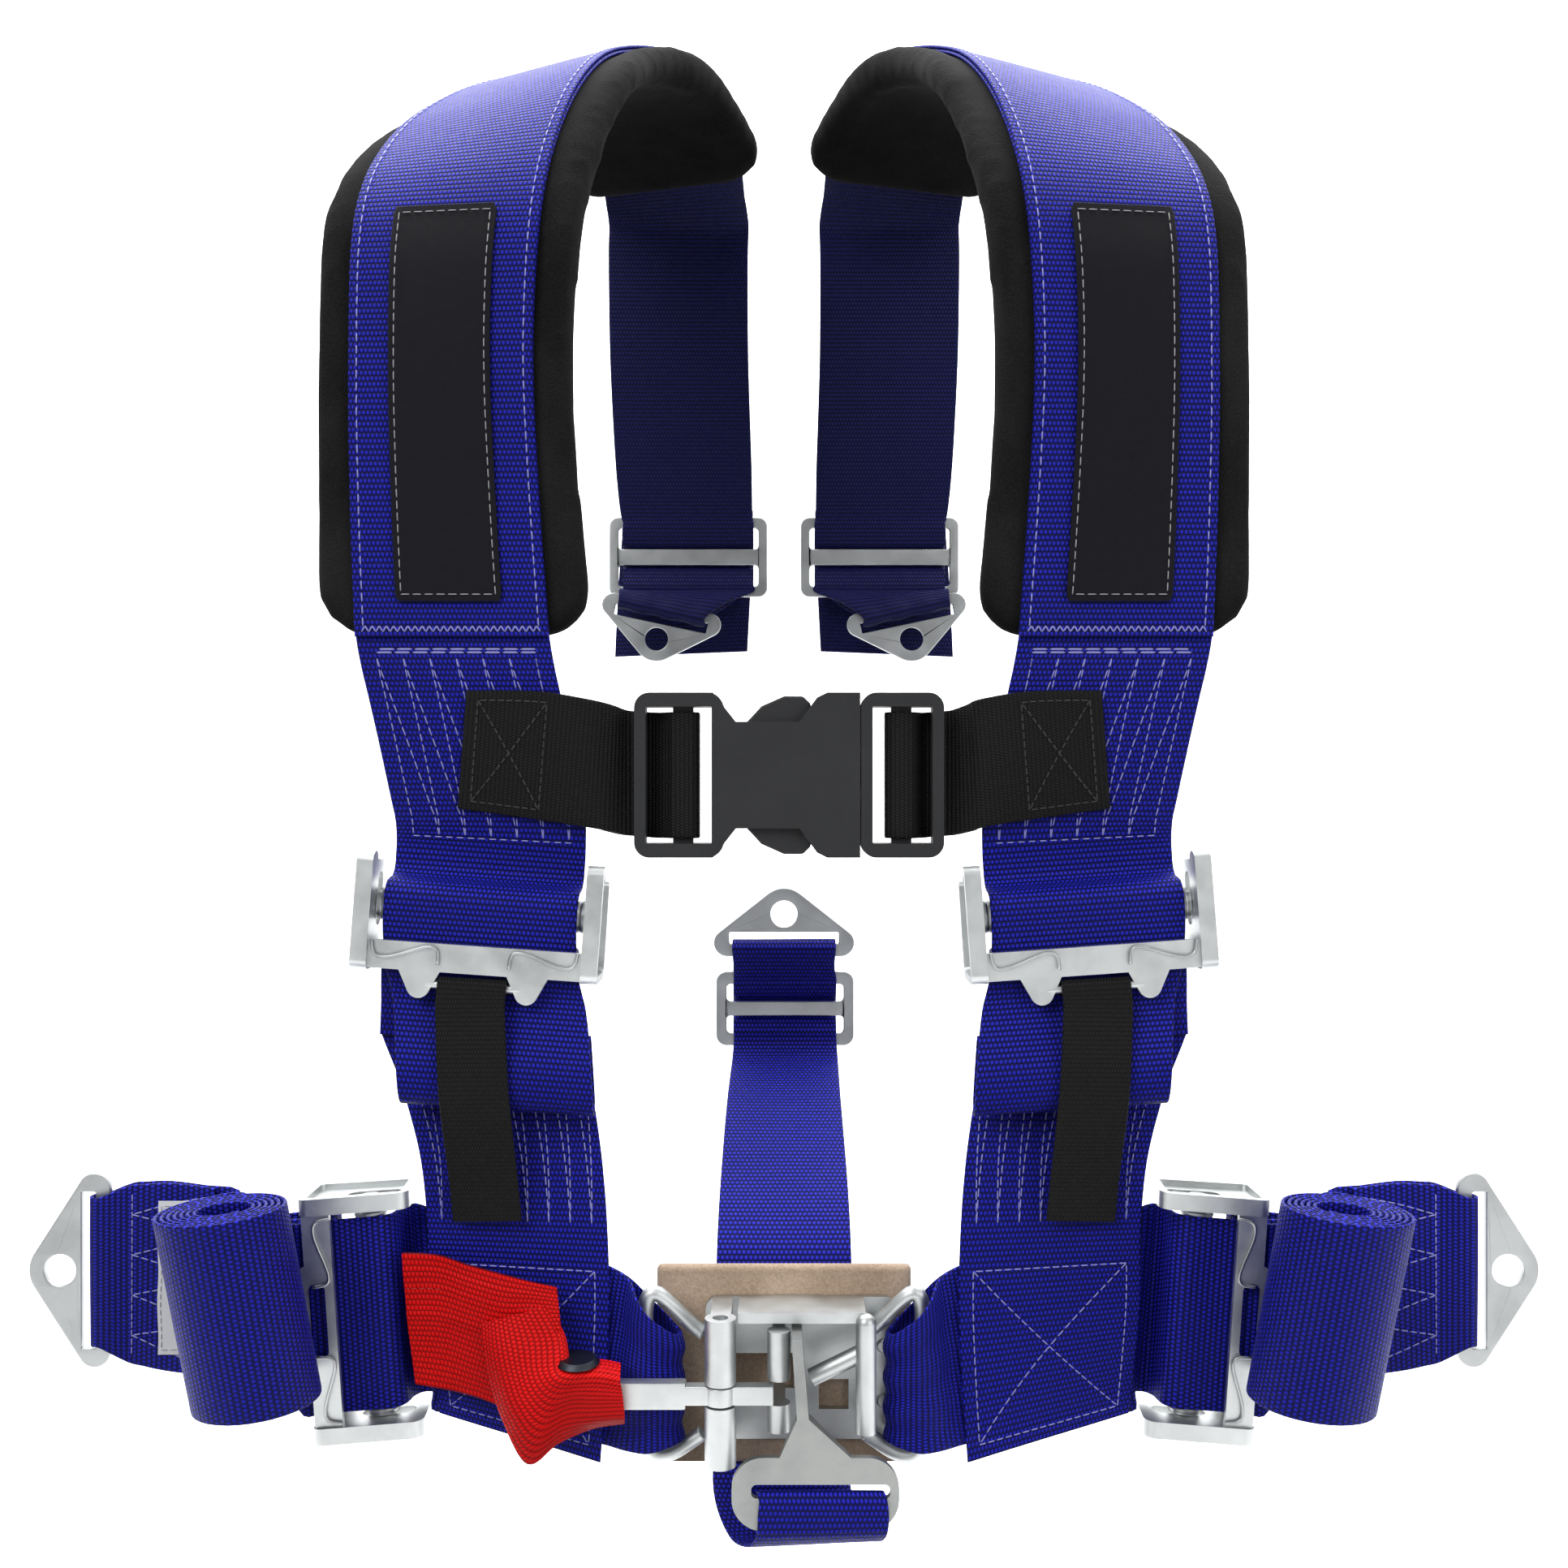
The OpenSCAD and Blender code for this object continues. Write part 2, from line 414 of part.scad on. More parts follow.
module hull_free() {
    top = clip_h / 2 - 1.2;
    polygon([[prong_pivot[0] + 3.6, 8.4], [prong_pivot[0] + 3.6, 17.5], [11, 20], [10.6, top - 3],
        [7.5, top], [0, top], [-9, top - 4], [-15, top - 10.5], [-18.5, 17], [-18.5, 11], [-12, 10],
        [12, 8.4]]);
}
module chest_prong_upper() prong(true);
module chest_prong_lower() prong(false);

// ---- Latch buckle ----
base_y = 8;
body_top = -210;
body_foot = -267;
module latch_body() color("#b4b8b8") difference() {
    union() {
        translate([7, base_y + base_t / 2, (body_top + body_foot) / 2]) upright(base_t)
            rounded(77, body_top - body_foot, 5);
        for (r = [[body_top, lever_z + 4.2], [lever_z - 4.2, body_foot]]) {
            translate([pivot[0], pivot[1], r[1]]) cylinder(d = knuckle_d, h = r[0] - r[1]);
            translate([pivot[0] - 4, pivot[1], r[1]]) cube([8, base_y - pivot[1] + 1, r[0] - r[1]]);
        }
        for (r = [[-216, lever_z + 4.6], [lever_z - 4.6, -255]]) {
            translate([-2, -13, r[1]]) cylinder(d = 9, h = r[0] - r[1]);
            translate([-4.5, -13, r[1]]) cube([5, base_y + 14, r[0] - r[1]]);
        }
        translate([-18, -12, body_top - 4]) cube([50, base_y + 13, 4]);
        translate([32, -12, -256.5]) cylinder(d = 8, h = 42.5);
        translate([32, -12, body_top - 4]) sphere(d = 8);
        translate([30, -12, -256.5]) cube([5, base_y + 13, 5]);
        translate([10.8, -9, -236]) rotate([0, 64, 0]) cylinder(d = 7, h = 24);
    }
    translate([pivot[0], pivot[1], body_foot - 1]) cylinder(d = pin_d + 2 * run_gap,
        h = body_top - body_foot + 2);
    translate([-22, base_y - 1, lever_z - 7]) cube([26, base_t + 2, 14]);
    translate([14, base_y - 1, -255]) cube([12, base_t + 2, 12]);
}
module lever_pin() color("#8f9494") translate([pivot[0], pivot[1], body_foot + 1])
    cylinder(d = pin_d, h = body_top - body_foot - 3);
module latch_lever() color("#b4b8b8") difference() {
    union() {
        translate([pivot[0], pivot[1], lever_z - 3.6]) cylinder(d = knuckle_d - 0.4, h = 7.2);
        translate([-86, pivot[1] - 3, lever_z - 5]) cube([48, 6, 10]);
        translate([-40, pivot[1] - 3, lever_z - 3.6]) cube([36, 6, 7.2]);
    }
    translate([pivot[0], pivot[1], lever_z - 8]) cylinder(d = pin_d + 2 * run_gap, h = 16);
}
module link_wire(m) mirror([m, 0, 0]) color("#b4b8b8") wire([[-32.3, 4.4, -223], [-37, 4, -219.5],
    [-46, 1.5, -210], [-52, 0, -205.5], [rod_x, 0, -211], [rod_x, 0, -222], [rod_x, 0, -250],
    [rod_x, 0, -264], [-52, 0, -270], [-45, 1.5, -270], [-37, 4, -266], [-32.3, 4.4, -263]], wire_d);
module left_link() link_wire(0);
module right_link() link_wire(1);
module link_rivets() color("#9a9f9f") for (z = [-229.5, -251.5]) translate([40, base_y, z])
    rotate([90, 0, 0]) cylinder(r1 = 3, r2 = 2.2, h = 1.6);
hook_y = -24.5;
module sub_hook() color("#a5a8a6") {
    difference() {
        translate([12, hook_y, -274.5]) upright(plate_t) rounded(64, 28, 12);
        translate([14, hook_y, -273.4]) upright(3 * plate_t) rounded(narrow_w + 3, web_t + 3.8, 2);
    }
    hull() {
        translate([-2, hook_y - 1.5, -262]) cube([28, plate_t, 1]);
        translate([5, hook_y - 1.5, -247]) cube([4.5, 7, 1]);
    }
    hull() {
        translate([5, hook_y - 1.5, -247]) cube([4.5, 7, 1]);
        translate([3, -26, -217]) cube([4, 20, 1]);
    }
}
module buckle_pad() color("#b29a82") translate([0, 13.9, -238.3]) upright(5) rounded(103, 80, 10);

// ---- Red release tab ----
TAB = [[-150, -7.5, -213, -0.08, 0, 0.89], [-136, -8.3, -214.5, -0.05, 0, 0.9],
    [-120, -10, -219, 0, 0, 0.9], [-106, -14.5, -227, 0.16, -0.1, 0.82], [-97, -20.2, -236, 0.2, -0.1, 0.62],
    [-89, -21.8, -239.5, 0.04, 0, 0.42], [-63, -21.6, -239.5, 0, 0, 0.4]];
module red_tab() color("#e81c1c") ribbon(smooth(TAB, 3), 29, 2.4);
module tab_rivet() color("#22242c") translate([-79.5, -19.5, -226.3]) rotate([5, 0, 0])
    cylinder(r1 = 8.5, r2 = 6.8, h = 2);

// ---- Nodes ----
for (s = SIDES) {
    pad_foam(s);
    pad_cover(s);
    pad_patch(s);
    shoulder_strap(s);
    rear_slide(s);
    rear_anchor(s);
    chest_webbing(s);
    shoulder_adjuster(s);
    shoulder_bar(s);
    shoulder_spring(s);
    pull_tab(s);
    lower_strap(s);
    lap_strap(s);
    lap_adjuster(s);
    lap_bar(s);
    lap_spring(s);
    lap_end_strap(s);
    lap_anchor(s);
}
date_tag();
chest_socket();
chest_plug();
chest_prong_upper();
chest_prong_lower();
latch_body();
latch_lever();
lever_pin();
left_link();
right_link();
link_rivets();
sub_hook();
buckle_pad();
sub_strap();
sub_slide();
sub_anchor();
red_tab();
tab_rivet();
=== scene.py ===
"""A worn five-point racing harness, dressed over its loaded frame.

Strap routes are written in millimetres, as a pattern cutter writes them, and every mesh is
built in metres. The wearer faces -Y, +Z is up, and the origin is the chest clip's centre.
"""

from __future__ import annotations

import json
import logging
import math
from dataclasses import dataclass, field
from enum import Enum
from typing import Callable, Dict, Iterable, List, Optional, Sequence, Tuple

import bmesh
import bpy
import numpy as np
from mathutils import Matrix, Vector

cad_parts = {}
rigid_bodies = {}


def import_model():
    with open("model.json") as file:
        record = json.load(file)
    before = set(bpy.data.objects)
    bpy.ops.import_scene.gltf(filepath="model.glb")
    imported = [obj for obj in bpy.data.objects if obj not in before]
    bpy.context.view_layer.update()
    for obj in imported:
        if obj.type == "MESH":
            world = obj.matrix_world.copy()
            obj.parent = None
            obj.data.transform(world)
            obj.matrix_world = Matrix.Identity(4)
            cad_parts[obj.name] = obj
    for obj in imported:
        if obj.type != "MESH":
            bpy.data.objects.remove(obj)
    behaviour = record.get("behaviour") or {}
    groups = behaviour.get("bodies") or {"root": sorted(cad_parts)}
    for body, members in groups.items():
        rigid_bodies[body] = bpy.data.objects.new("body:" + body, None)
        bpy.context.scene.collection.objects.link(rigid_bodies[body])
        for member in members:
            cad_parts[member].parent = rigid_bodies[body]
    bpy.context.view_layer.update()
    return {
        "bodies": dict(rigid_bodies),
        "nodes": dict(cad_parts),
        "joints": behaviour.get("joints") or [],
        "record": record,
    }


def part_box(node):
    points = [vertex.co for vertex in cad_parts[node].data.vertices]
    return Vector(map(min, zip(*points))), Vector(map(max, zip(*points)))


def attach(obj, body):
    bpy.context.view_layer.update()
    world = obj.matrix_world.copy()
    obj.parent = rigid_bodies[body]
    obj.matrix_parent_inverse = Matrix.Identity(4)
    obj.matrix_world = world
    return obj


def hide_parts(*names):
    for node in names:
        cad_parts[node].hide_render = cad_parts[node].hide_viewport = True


LOG = logging.getLogger("harness")
MM = 0.001
Station = Tuple[float, ...]
Spot = Tuple[float, float]
Colour = Tuple[float, float, float]
Wave = Callable[[float, float], float]
FAR = 1e12                  # a squared distance that no search picks
TINY = 1e-9                 # keeps a division by a length from failing


class Side(Enum):
    """The two halves of the harness, as a viewer in front of it sees them."""

    LEFT = "left"
    RIGHT = "right"

    def node(self, name: str) -> str:
        """Names a paired node on this side."""
        return f"{self.value}_{name}"


# ---- Route helpers, in millimetres ----


def turned(angle: float, p: Sequence[float]) -> Station:
    """Turns a point about the Y axis.

    Args:
        angle: degrees.
        p: x, y and z.

    Returns:
        The turned point.
    """
    c, s = math.cos(math.radians(angle)), math.sin(math.radians(angle))
    return (p[0] * c + p[2] * s, p[1], p[2] * c - p[0] * s)


def local(y: float, z: float, w: float = 1.0) -> Station:
    """Gives a strap station in an adjuster's own frame, with its share of full width."""
    return (0.0, y, z, w, 0.0, 0.0)


def placed(where: Sequence[float], angle: float, s: Station) -> Station:
    """Moves a station from a fitting's own frame into the harness.

    Args:
        where: the fitting's place.
        angle: the fitting's turn about Y in degrees.
        s: the station.

    Returns:
        The station in the harness frame.
    """
    p = turned(angle, s[:3])
    return tuple(where[i] + p[i] for i in range(3)) + turned(angle, s[3:])


def smooth(stations: Sequence[Station], steps: int) -> List[Station]:
    """Runs a smooth curve through stations.

    Args:
        stations: the given stations.
        steps: how many stations replace each one.

    Returns:
        The denser stations, which pass through all the given ones.
    """
    rows = np.array(stations, dtype=float)
    last = len(rows) - 1
    found: List[Station] = []
    for i in range(last):
        a, b, c, d = rows[max(i - 1, 0)], rows[i], rows[i + 1], rows[min(i + 2, last)]
        for k in range(steps):
            t = k / steps
            row = 0.5 * ((2 * b) + (c - a) * t + (2 * a - 5 * b + 4 * c - d) * t * t
                         + (3 * b - a - 3 * c + d) * t ** 3)
            found.append(tuple(row))
    found.append(tuple(rows[last]))
    return found


class Route:
    """A strap's centreline, with the direction across it at each station."""

    def __init__(self, stations: Sequence[Station]) -> None:
        """Measures the centreline.

        Args:
            stations: x, y, z and the half-width direction's three parts.
        """
        rows = np.array(stations, dtype=float)
        self.points = rows[:, :3]
        self.halves = rows[:, 3:]
        ends = np.vstack([self.points[:1], self.points, self.points[-1:]])
        faces = np.cross(ends[2:] - ends[:-2], self.halves)
        self.faces = faces / np.linalg.norm(faces, axis=1)[:, None]
        steps = np.linalg.norm(np.diff(self.points, axis=0), axis=1)
        self.reach = np.concatenate([[0.0], np.cumsum(steps)])

    @property
    def length(self) -> float:
        """The centreline's length in millimetres."""
        return float(self.reach[-1])

    def stations(self) -> List[Station]:
        """Lists the route's stations again."""
        return [tuple(r) for r in np.hstack([self.points, self.halves])]

    def layered(self, lift: float) -> "Route":
        """Gives the same route shifted along its own face by lift millimetres."""
        return Route(np.hstack([self.points + self.faces * lift, self.halves]))

    def spot(self, across: float, along: float, lift: float) -> np.ndarray:
        """Finds a point on the strap.

        Args:
            across: millimetres from the centreline.
            along: millimetres from the route's start.
            lift: millimetres off the centre of the strap's thickness.

        Returns:
            The point in millimetres.
        """
        i = int(np.clip(np.searchsorted(self.reach, along) - 1, 0, len(self.reach) - 2))
        t = (along - self.reach[i]) / max(self.reach[i + 1] - self.reach[i], TINY)

        def at(a: np.ndarray) -> np.ndarray:
            """Reads one array at the place along the strap."""
            return a[i] * (1 - t) + a[i + 1] * t

        return at(self.points) + at(self.halves) * across + at(self.faces) * lift

    def share(self, along: float) -> float:
        """Reads the strap's share of its full width at a length along."""
        return float(np.interp(along, self.reach, np.linalg.norm(self.halves, axis=1)))

    def nearest(self, x: float, z: float, low: float = 0.0, high: float = 1e9) -> float:
        """Finds how far along the route comes closest to a place seen from the front.

        Args:
            x: the place's x.
            z: the place's z.
            low: where the search starts, in millimetres along.
            high: where it ends.

        Returns:
            Millimetres from the route's start.
        """
        gap = (self.points[:, 0] - x) ** 2 + (self.points[:, 2] - z) ** 2
        gap[(self.reach < low) | (self.reach > high)] = FAR
        return float(self.reach[int(np.argmin(gap))])


# ---- Sizes and routes of the pattern ----


@dataclass(frozen=True)
class Pattern:
    """The sizes and places that all the straps share, in millimetres."""

    web: float = 76.0
    web_t: float = 1.4
    narrow: float = 50.0
    sew_gap: float = 0.4
    pull: float = 27.0
    pad: float = 111.0
    pad_t: float = 14.0
    patch: float = 42.0
    patch_t: float = 0.8
    bar: float = 13.0
    travel: float = 2.5
    plate_t: float = 3.0
    gather: float = 50.0
    rod: Tuple[float, float] = (-12.0, -29.0)
    shoulder_at: Station = (-119.0, -2.0, -53.5)
    shoulder_turn: float = 4.0
    lap_at: Station = (-162.0, 2.0, -212.0)
    lap_turn: float = 86.0
    rear_strip_at: Station = (-68.0, 265.0, 95.0)
    rear_turn: float = 12.0
    rear_slide_at: Station = (-54.0, 270.0, 124.5)
    sub_strip_at: Station = (0.0, 141.0, -84.0)
    sub_slide_at: Station = (0.5, 146.0, -113.0)
    lap_strip_at: Station = (-276.5, 15.0, -201.0)
    roll_at: Tuple[float, float] = (-46.0, -38.0)
    roll_r: float = 24.0
    roll_lean: Tuple[float, float, float] = (-18.0, 0.18, 0.05)
    roll_turns: int = 2400
    roll_step: int = 30
    roll_pitch: float = 2.25
    strip_h: float = 6.0
    bar_gap: float = 0.4
    loop_gap: float = 0.65
    weave_gap: float = 0.35
    thread_rise: float = 0.22
    full_turn: int = 360

    @property
    def wrap_r(self) -> float:
        """Radius of the webbing's centreline round a slide bar."""
        return self.bar / 2 + self.bar_gap + self.web_t / 2

    @property
    def loop_r(self) -> float:
        """Radius of the webbing's loop round an anchor's strip."""
        return math.hypot(self.strip_h, self.plate_t) / 2 + self.loop_gap + self.web_t / 2

    @property
    def strap_lift(self) -> float:
        """Foam centre to the strap that runs under the cover."""
        return self.pad_t / 2 + self.sew_gap + self.web_t / 2

    @property
    def cover_lift(self) -> float:
        """Foam centre to the sewn cover."""
        return self.strap_lift + self.web_t + self.sew_gap

    @property
    def thread_lift(self) -> float:
        """Webbing centre to the thread sewn on its face."""
        return self.web_t / 2 + self.thread_rise


P = Pattern()

PAD: List[Station] = [
    (-130, 0, 54.5, 1, 0, 0), (-132.5, -2, 108, 0.97, 0, 0), (-133, -5, 165, 0.95, -0.05, 0),
    (-130.5, -1, 219, 0.98, -0.12, 0), (-123, 20, 257, 0.98, -0.24, 0.05),
    (-112, 50, 287, 0.94, -0.34, 0.08), (-99, 88, 311, 0.86, -0.36, 0.05),
    (-83, 125, 326, 0.87, -0.38, 0), (-73, 164, 325, 0.93, -0.42, -0.03),
    (-61, 208, 312, 0.99, -0.38, -0.03)]
BAR_TURN: List[Station] = [
    local(-P.wrap_r * math.cos(math.radians(a)), P.travel + P.wrap_r * math.sin(math.radians(a)))
    for a in (0, 30, 60, 90)] + [local(4.3, P.travel + P.wrap_r + 0.9)]
BAR_WRAP: List[Station] = [
    (x, y, z, 1, 0, 0) for x, y, z in (
        (8.5, -4.6, -46), (10.5, -5.2, -60), (12, -6.5, -71), (12.5, -10.5, -75.5),
        (12, -14.5, -70), (10.5, -15, -58), (8, -10, -44), (5.5, -6.6, -34), (2.4, -6.9, -24),
        (0.4, 0.2 - P.wrap_r, -9))] + BAR_TURN + [local(7.6, 15.5), local(7, 25)]
CHEST: List[Station] = [(-117, 2.5, -18, 1, 0, 0), (-120, -1, 0, 1, 0, 0),
                        (-124, -4.5, 22, 1, 0, 0), (-128, -7.3, 42, 1, 0, 0)]
BACK: List[Station] = [
    (-58.5, 223, 309, 0.99, -0.2, 0), (-57, 232, 299, 1, -0.06, 0), (-57.5, 236, 284, 1, 0, 0),
    (-57.5, 244, 230, 1, 0, 0), (-56, 258, 175, 1, 0, 0), (-55, 266.6, 150, 0.98, 0, 0)]
ROD_LOOP: List[Station] = [
    local(y, z) for y, z in ((1.6, -52), (0, -40), (-3.2, -28), (-3.9, -20), (-1.4, -15),
                             (4.5, -13.6), (9.2, -16), (10.2, -20.5), (9.6, -27), (6.4, -39),
                             (3.8, -52))]
LOWER_END: List[Station] = [
    (-115, 2, -122, 1, 0, 0), (-108.5, -1.2, -150, 0.95, 0, 0),
    (-105.5, -2.4, -180, 0.94, 0, -0.03), (-105, -2.6, -215, 0.94, 0, -0.1),
    (-104.5, -2.6, -262, 0.84, 0, -0.26)]
LINK_LOOP: List[Station] = [
    (-132, 2.2, -216, -0.22, 0, -0.97), (-105, 0.2, -222, -0.22, 0, -0.97),
    (-84, 0.3, -228, -0.2, 0, -0.95), (-74, 0.5, -230.5, -0.17, 0, -0.9),
    (-66.5, -0.8, -233, -0.13, 0, -0.86), (-60, -7, -236, -0.05, 0, -0.78),
    (-53, -9.5, -239, 0, 0, -0.7), (-44, -7, -241.5, 0, 0, -0.58), (-40.5, 0, -242, 0, 0, -0.55),
    (-45, 6.6, -241, 0, 0, -0.6), (-56, 8.6, -238, -0.05, 0, -0.74),
    (-67, 6.8, -233.5, -0.13, 0, -0.84), (-77, 3.9, -230, -0.17, 0, -0.9),
    (-90, 2.9, -226.5, -0.2, 0, -0.92), (-108, 2.6, -222, -0.22, 0, -0.92)]


def woven(at: Sequence[float], rail: float, bar: float, w: float, way: float) -> List[Station]:
    """Threads a strap in front of a slide's outer rails and behind its middle bar.

    Args:
        at: the slide's place.
        rail: half the distance between the outer rails.
        bar: half the middle bar's height.
        w: the strap's share of full width there.
        way: 1 going down the slide, -1 going up.

    Returns:
        The strap's stations.
    """
    r = P.plate_t / 2 + P.weave_gap + P.web_t / 2
    steps = ((rail, -r - 0.1), (rail - 3.5, -r + 0.2), (bar + 3, 0.3), (bar + 0.7, r),
             (0, r + 0.2), (-bar - 0.7, r), (-bar - 3, 0.3), (3.5 - rail, -r + 0.2),
             (-rail, -r - 0.1))
    return [(at[0], at[1] + q[1], at[2] + q[0] * way, w, 0, 0) for q in steps]


def strip_turn(at: Sequence[float], turn: float, w: float, angles: Iterable[int]) -> List[Station]:
    """Loops a strap round an anchor's strip.

    Args:
        at: the strip's place.
        turn: its turn about Y in degrees.
        w: the strap's share of full width there.
        angles: where round the strip the stations lie, in degrees.

    Returns:
        The strap's stations.
    """
    return [placed(at, turn, (0, -P.loop_r * math.cos(math.radians(a)),
                              -P.loop_r * math.sin(math.radians(a)), w, 0, 0)) for a in angles]


def shoulder_route() -> List[Station]:
    """Runs the shoulder strap from its spare tail, over the shoulder, to the rear anchor."""
    rear = woven(P.rear_slide_at, 19.5, 4.5, 0.97, 1) + [(-62, 262.9, 102, 0.8, 0, -0.09)]
    rear += strip_turn(P.rear_strip_at, P.rear_turn, P.gather / P.web, range(0, 181, 45))
    rear += [(-66.5, 271.8, 97.6, 0.7, 0, -0.12), (-62, 275.6, 101.8, 0.8, 0, -0.1),
             (-56, 277.2, 110, 0.92, 0, 0), (-55, 277.5, 128, 0.98, 0, 0),
             (-55, 277.5, 146, 0.98, 0, 0), (-55, 280, 152, 0.98, 0, 0),
             (-55, 282.5, 146, 0.98, 0, 0), (-57, 283.4, 110, 1, 0, 0.02),
             (-59, 284, 71, 1, 0, 0.04)]
    front = smooth([placed(P.shoulder_at, P.shoulder_turn, s) for s in BAR_WRAP], 2)
    under = Route(smooth(PAD, 3)).layered(-P.strap_lift).stations()
    return front + smooth(CHEST, 2) + under + smooth(BACK + rear, 2)


def lower_route() -> List[Station]:
    """Runs the short strap from the adjuster's rear bar down to the lap belt."""
    loop = smooth([placed(P.shoulder_at, P.shoulder_turn, s) for s in ROD_LOOP], 3)
    return loop + smooth(LOWER_END, 3)


def lap_route() -> List[Station]:
    """Runs the lap strap from its roll of spare, round the slide bar, to the latch link."""

    def leant(y: float, z: float, t: float) -> Station:
        """Gives a station of the roll, whose axis leans by a share t."""
        rise, fore, tip = P.roll_lean
        return (rise * t, y, z, 1, fore * t, tip * t)

    roll = []
    for a in range(P.roll_turns, -1, -P.roll_step):
        r = P.roll_r - P.roll_pitch * a / P.full_turn
        c, s = math.cos(math.radians(a)), math.sin(math.radians(a))
        roll.append(leant(P.roll_at[0] + r * c, P.roll_at[1] - r * s, 1.0))
    wrap = roll + [leant(-14.4, -34, 0.5), local(-9.2, -29.5), local(-8.4, -22),
                   local(0.1 - P.wrap_r, -10)] + BAR_TURN + [local(8.2, 14), local(6, 19)]
    return [placed(P.lap_at, P.lap_turn, s) for s in wrap] + smooth(LINK_LOOP, 3)


def lap_end_route() -> List[Station]:
    """Runs the outer lap strap from the adjuster's rear bar round the anchor and back."""
    out = smooth([placed(P.lap_at, P.lap_turn, s) for s in ROD_LOOP], 3)
    out += smooth([(-222, 12.4, -206, -0.03, 0, -1), (-250, 15.6, -203, -0.03, 0, -1),
                   (-266, 17.5, -202, 0, 0, -0.94)], 2)
    out += strip_turn(P.lap_strip_at, 90, 0.8, range(180, -1, -45))
    return out + smooth([(-266, 12.3, -202, 0, 0, -0.94), (-250, 12.1, -203, -0.03, 0, -1),
                         (-231, 11.3, -205, -0.03, 0, -1)], 2)


def sub_route() -> List[Station]:
    """Runs the crotch strap from the hook, behind the buckle, up to its own anchor."""
    out: List[Station] = [
        (13, -21.7, -288, 1, 0, 0), (13.5, -21.7, -281, 1, 0, 0), (14, -21.9, -277, 0.98, 0, 0),
        (14, -22.9, -275, 0.98, 0, 0), (14.5, -24.5, -274.5, 0.96, 0, 0),
        (14.5, -26.1, -275, 0.98, 0, 0), (15, -27.1, -277, 0.98, 0, 0), (15, -27.5, -282, 1, 0, 0),
        (14.5, -27, -289, 1, 0, 0.02), (12, -21, -295, 1.02, 0, 0.04),
        (6, -12, -296.5, 1.06, 0, 0.06), (1, 2, -292, 1.1, 0, 0.05), (-1, 14, -287.5, 1.12, 0, 0),
        (-1, 20.5, -279, 1.12, 0, 0), (-1, 23, -266, 1.12, 0, 0), (0, 24, -240, 1.12, 0, 0),
        (0, 28, -200, 1.12, 0, 0), (0, 60, -174, 1.1, 0, 0), (0, 104, -149, 1.05, 0, 0),
        (0.5, 136, -136, 1.02, 0, 0)]
    out += woven(P.sub_slide_at, 15, 3.5, 1, -1) + [(0, 140, -92, 0.98, 0, 0)]
    out += strip_turn(P.sub_strip_at, 180, -1, range(0, 181, 45))
    out += [(0, 147.4, -88, 0.98, 0, 0), (0, 151, -94, 1, 0, 0), (0, 152, -106, 1, 0, 0),
            (0, 152, -132, 1, 0, 0)]
    return smooth(out, 2)


def pull_route() -> List[Station]:
    """Hangs the pull tab from the adjuster's rod."""
    eye = 1.5 + 0.5 + P.web_t / 2
    loop = [local(P.rod[0] + eye * math.cos(math.radians(a)),
                  P.rod[1] + eye * math.sin(math.radians(a))) for a in range(-60, 181, 40)]
    loop += [(-0.13 * (z + 36), y, z, 1, 0, 0.08) for y, z in (
        (-15, -36), (-17, -47), (-18.2, -58), (-18, -70), (-15, -84), (-9.6, -102), (-6, -121))]
    return [placed(P.shoulder_at, P.shoulder_turn, s) for s in smooth(loop, 2)]


@dataclass(frozen=True)
class ClipPlan:
    """Where the chest webbing meets the clip's frame, in millimetres from the clip's centre."""

    end: float = 59.0
    plug_end: float = 63.0
    rail: float = 4.5
    socket_bar: float = -40.0
    plug_bar: float = 46.5

    def chest_route(self, side: Side) -> List[Station]:
        """Runs the chest webbing from the shoulder strap round the clip's bar.

        Args:
            side: which half; the route is drawn on the left for both.

        Returns:
            The strap's stations.
        """
        left = side is Side.LEFT
        bar = self.socket_bar if left else -self.plug_bar
        rail = (-self.end if left else -self.plug_end) + self.rail / 2
        return smooth([
            (-127, -4.5, 10, -0.1, 0.16, -0.93), (-100, -4.5, 8, -0.1, 0.16, -1),
            (-80, -4.6, 5, -0.1, 0.13, -1), (rail - 13, -1.6, 3, -0.05, 0.05, -1),
            (rail - 6, 2.6, 1, 0, 0, -1), (rail, 3.3, 0.5, 0, 0, -1), (rail + 5, 2.4, 0, 0, 0, -1),
            (bar - 6, -1.8, 0, 0, 0, -1), (bar - 3.4, -4.1, 0, 0, 0, -1),
            (bar + 3.4, -4.1, 0, 0, 0, -1), (bar + 5.9, -1.2, 0, 0, 0, -1),
            (bar + 5, 3.4, 0, 0, 0, -1), (bar, 5, 0, 0, 0, -1), (bar - 6, 5.3, 0, 0, 0, -1),
            (rail, 5.5, 0.5, 0, 0, -1), (rail - 8, 5.3, 1, 0, 0, -1),
            (rail - 15, 3.4, 3, -0.05, 0, -1)], 3)


# ---- Scene and mesh helpers ----


def deselect_all() -> None:
    """Clears the selection, as the loaded nodes arrive selected."""
    if bpy.context.object and bpy.context.object.mode != "OBJECT":
        bpy.ops.object.mode_set(mode="OBJECT")
    for obj in bpy.context.selected_objects:
        obj.select_set(False)


def only(obj: bpy.types.Object) -> bpy.types.Object:
    """Makes one object the active and only selected one."""
    deselect_all()
    obj.select_set(True)
    bpy.context.view_layer.objects.active = obj
    return obj


def settle(obj: bpy.types.Object) -> bpy.types.Object:
    """Puts an object's place, turn and size into its mesh."""
    only(obj)
    bpy.ops.object.transform_apply(location=True, rotation=True, scale=True)
    return obj


def new_piece(name: str, mesh: bpy.types.Mesh) -> bpy.types.Object:
    """Links a new object for a mesh."""
    obj = bpy.data.objects.new(name, mesh)
    bpy.context.scene.collection.objects.link(obj)
    return obj


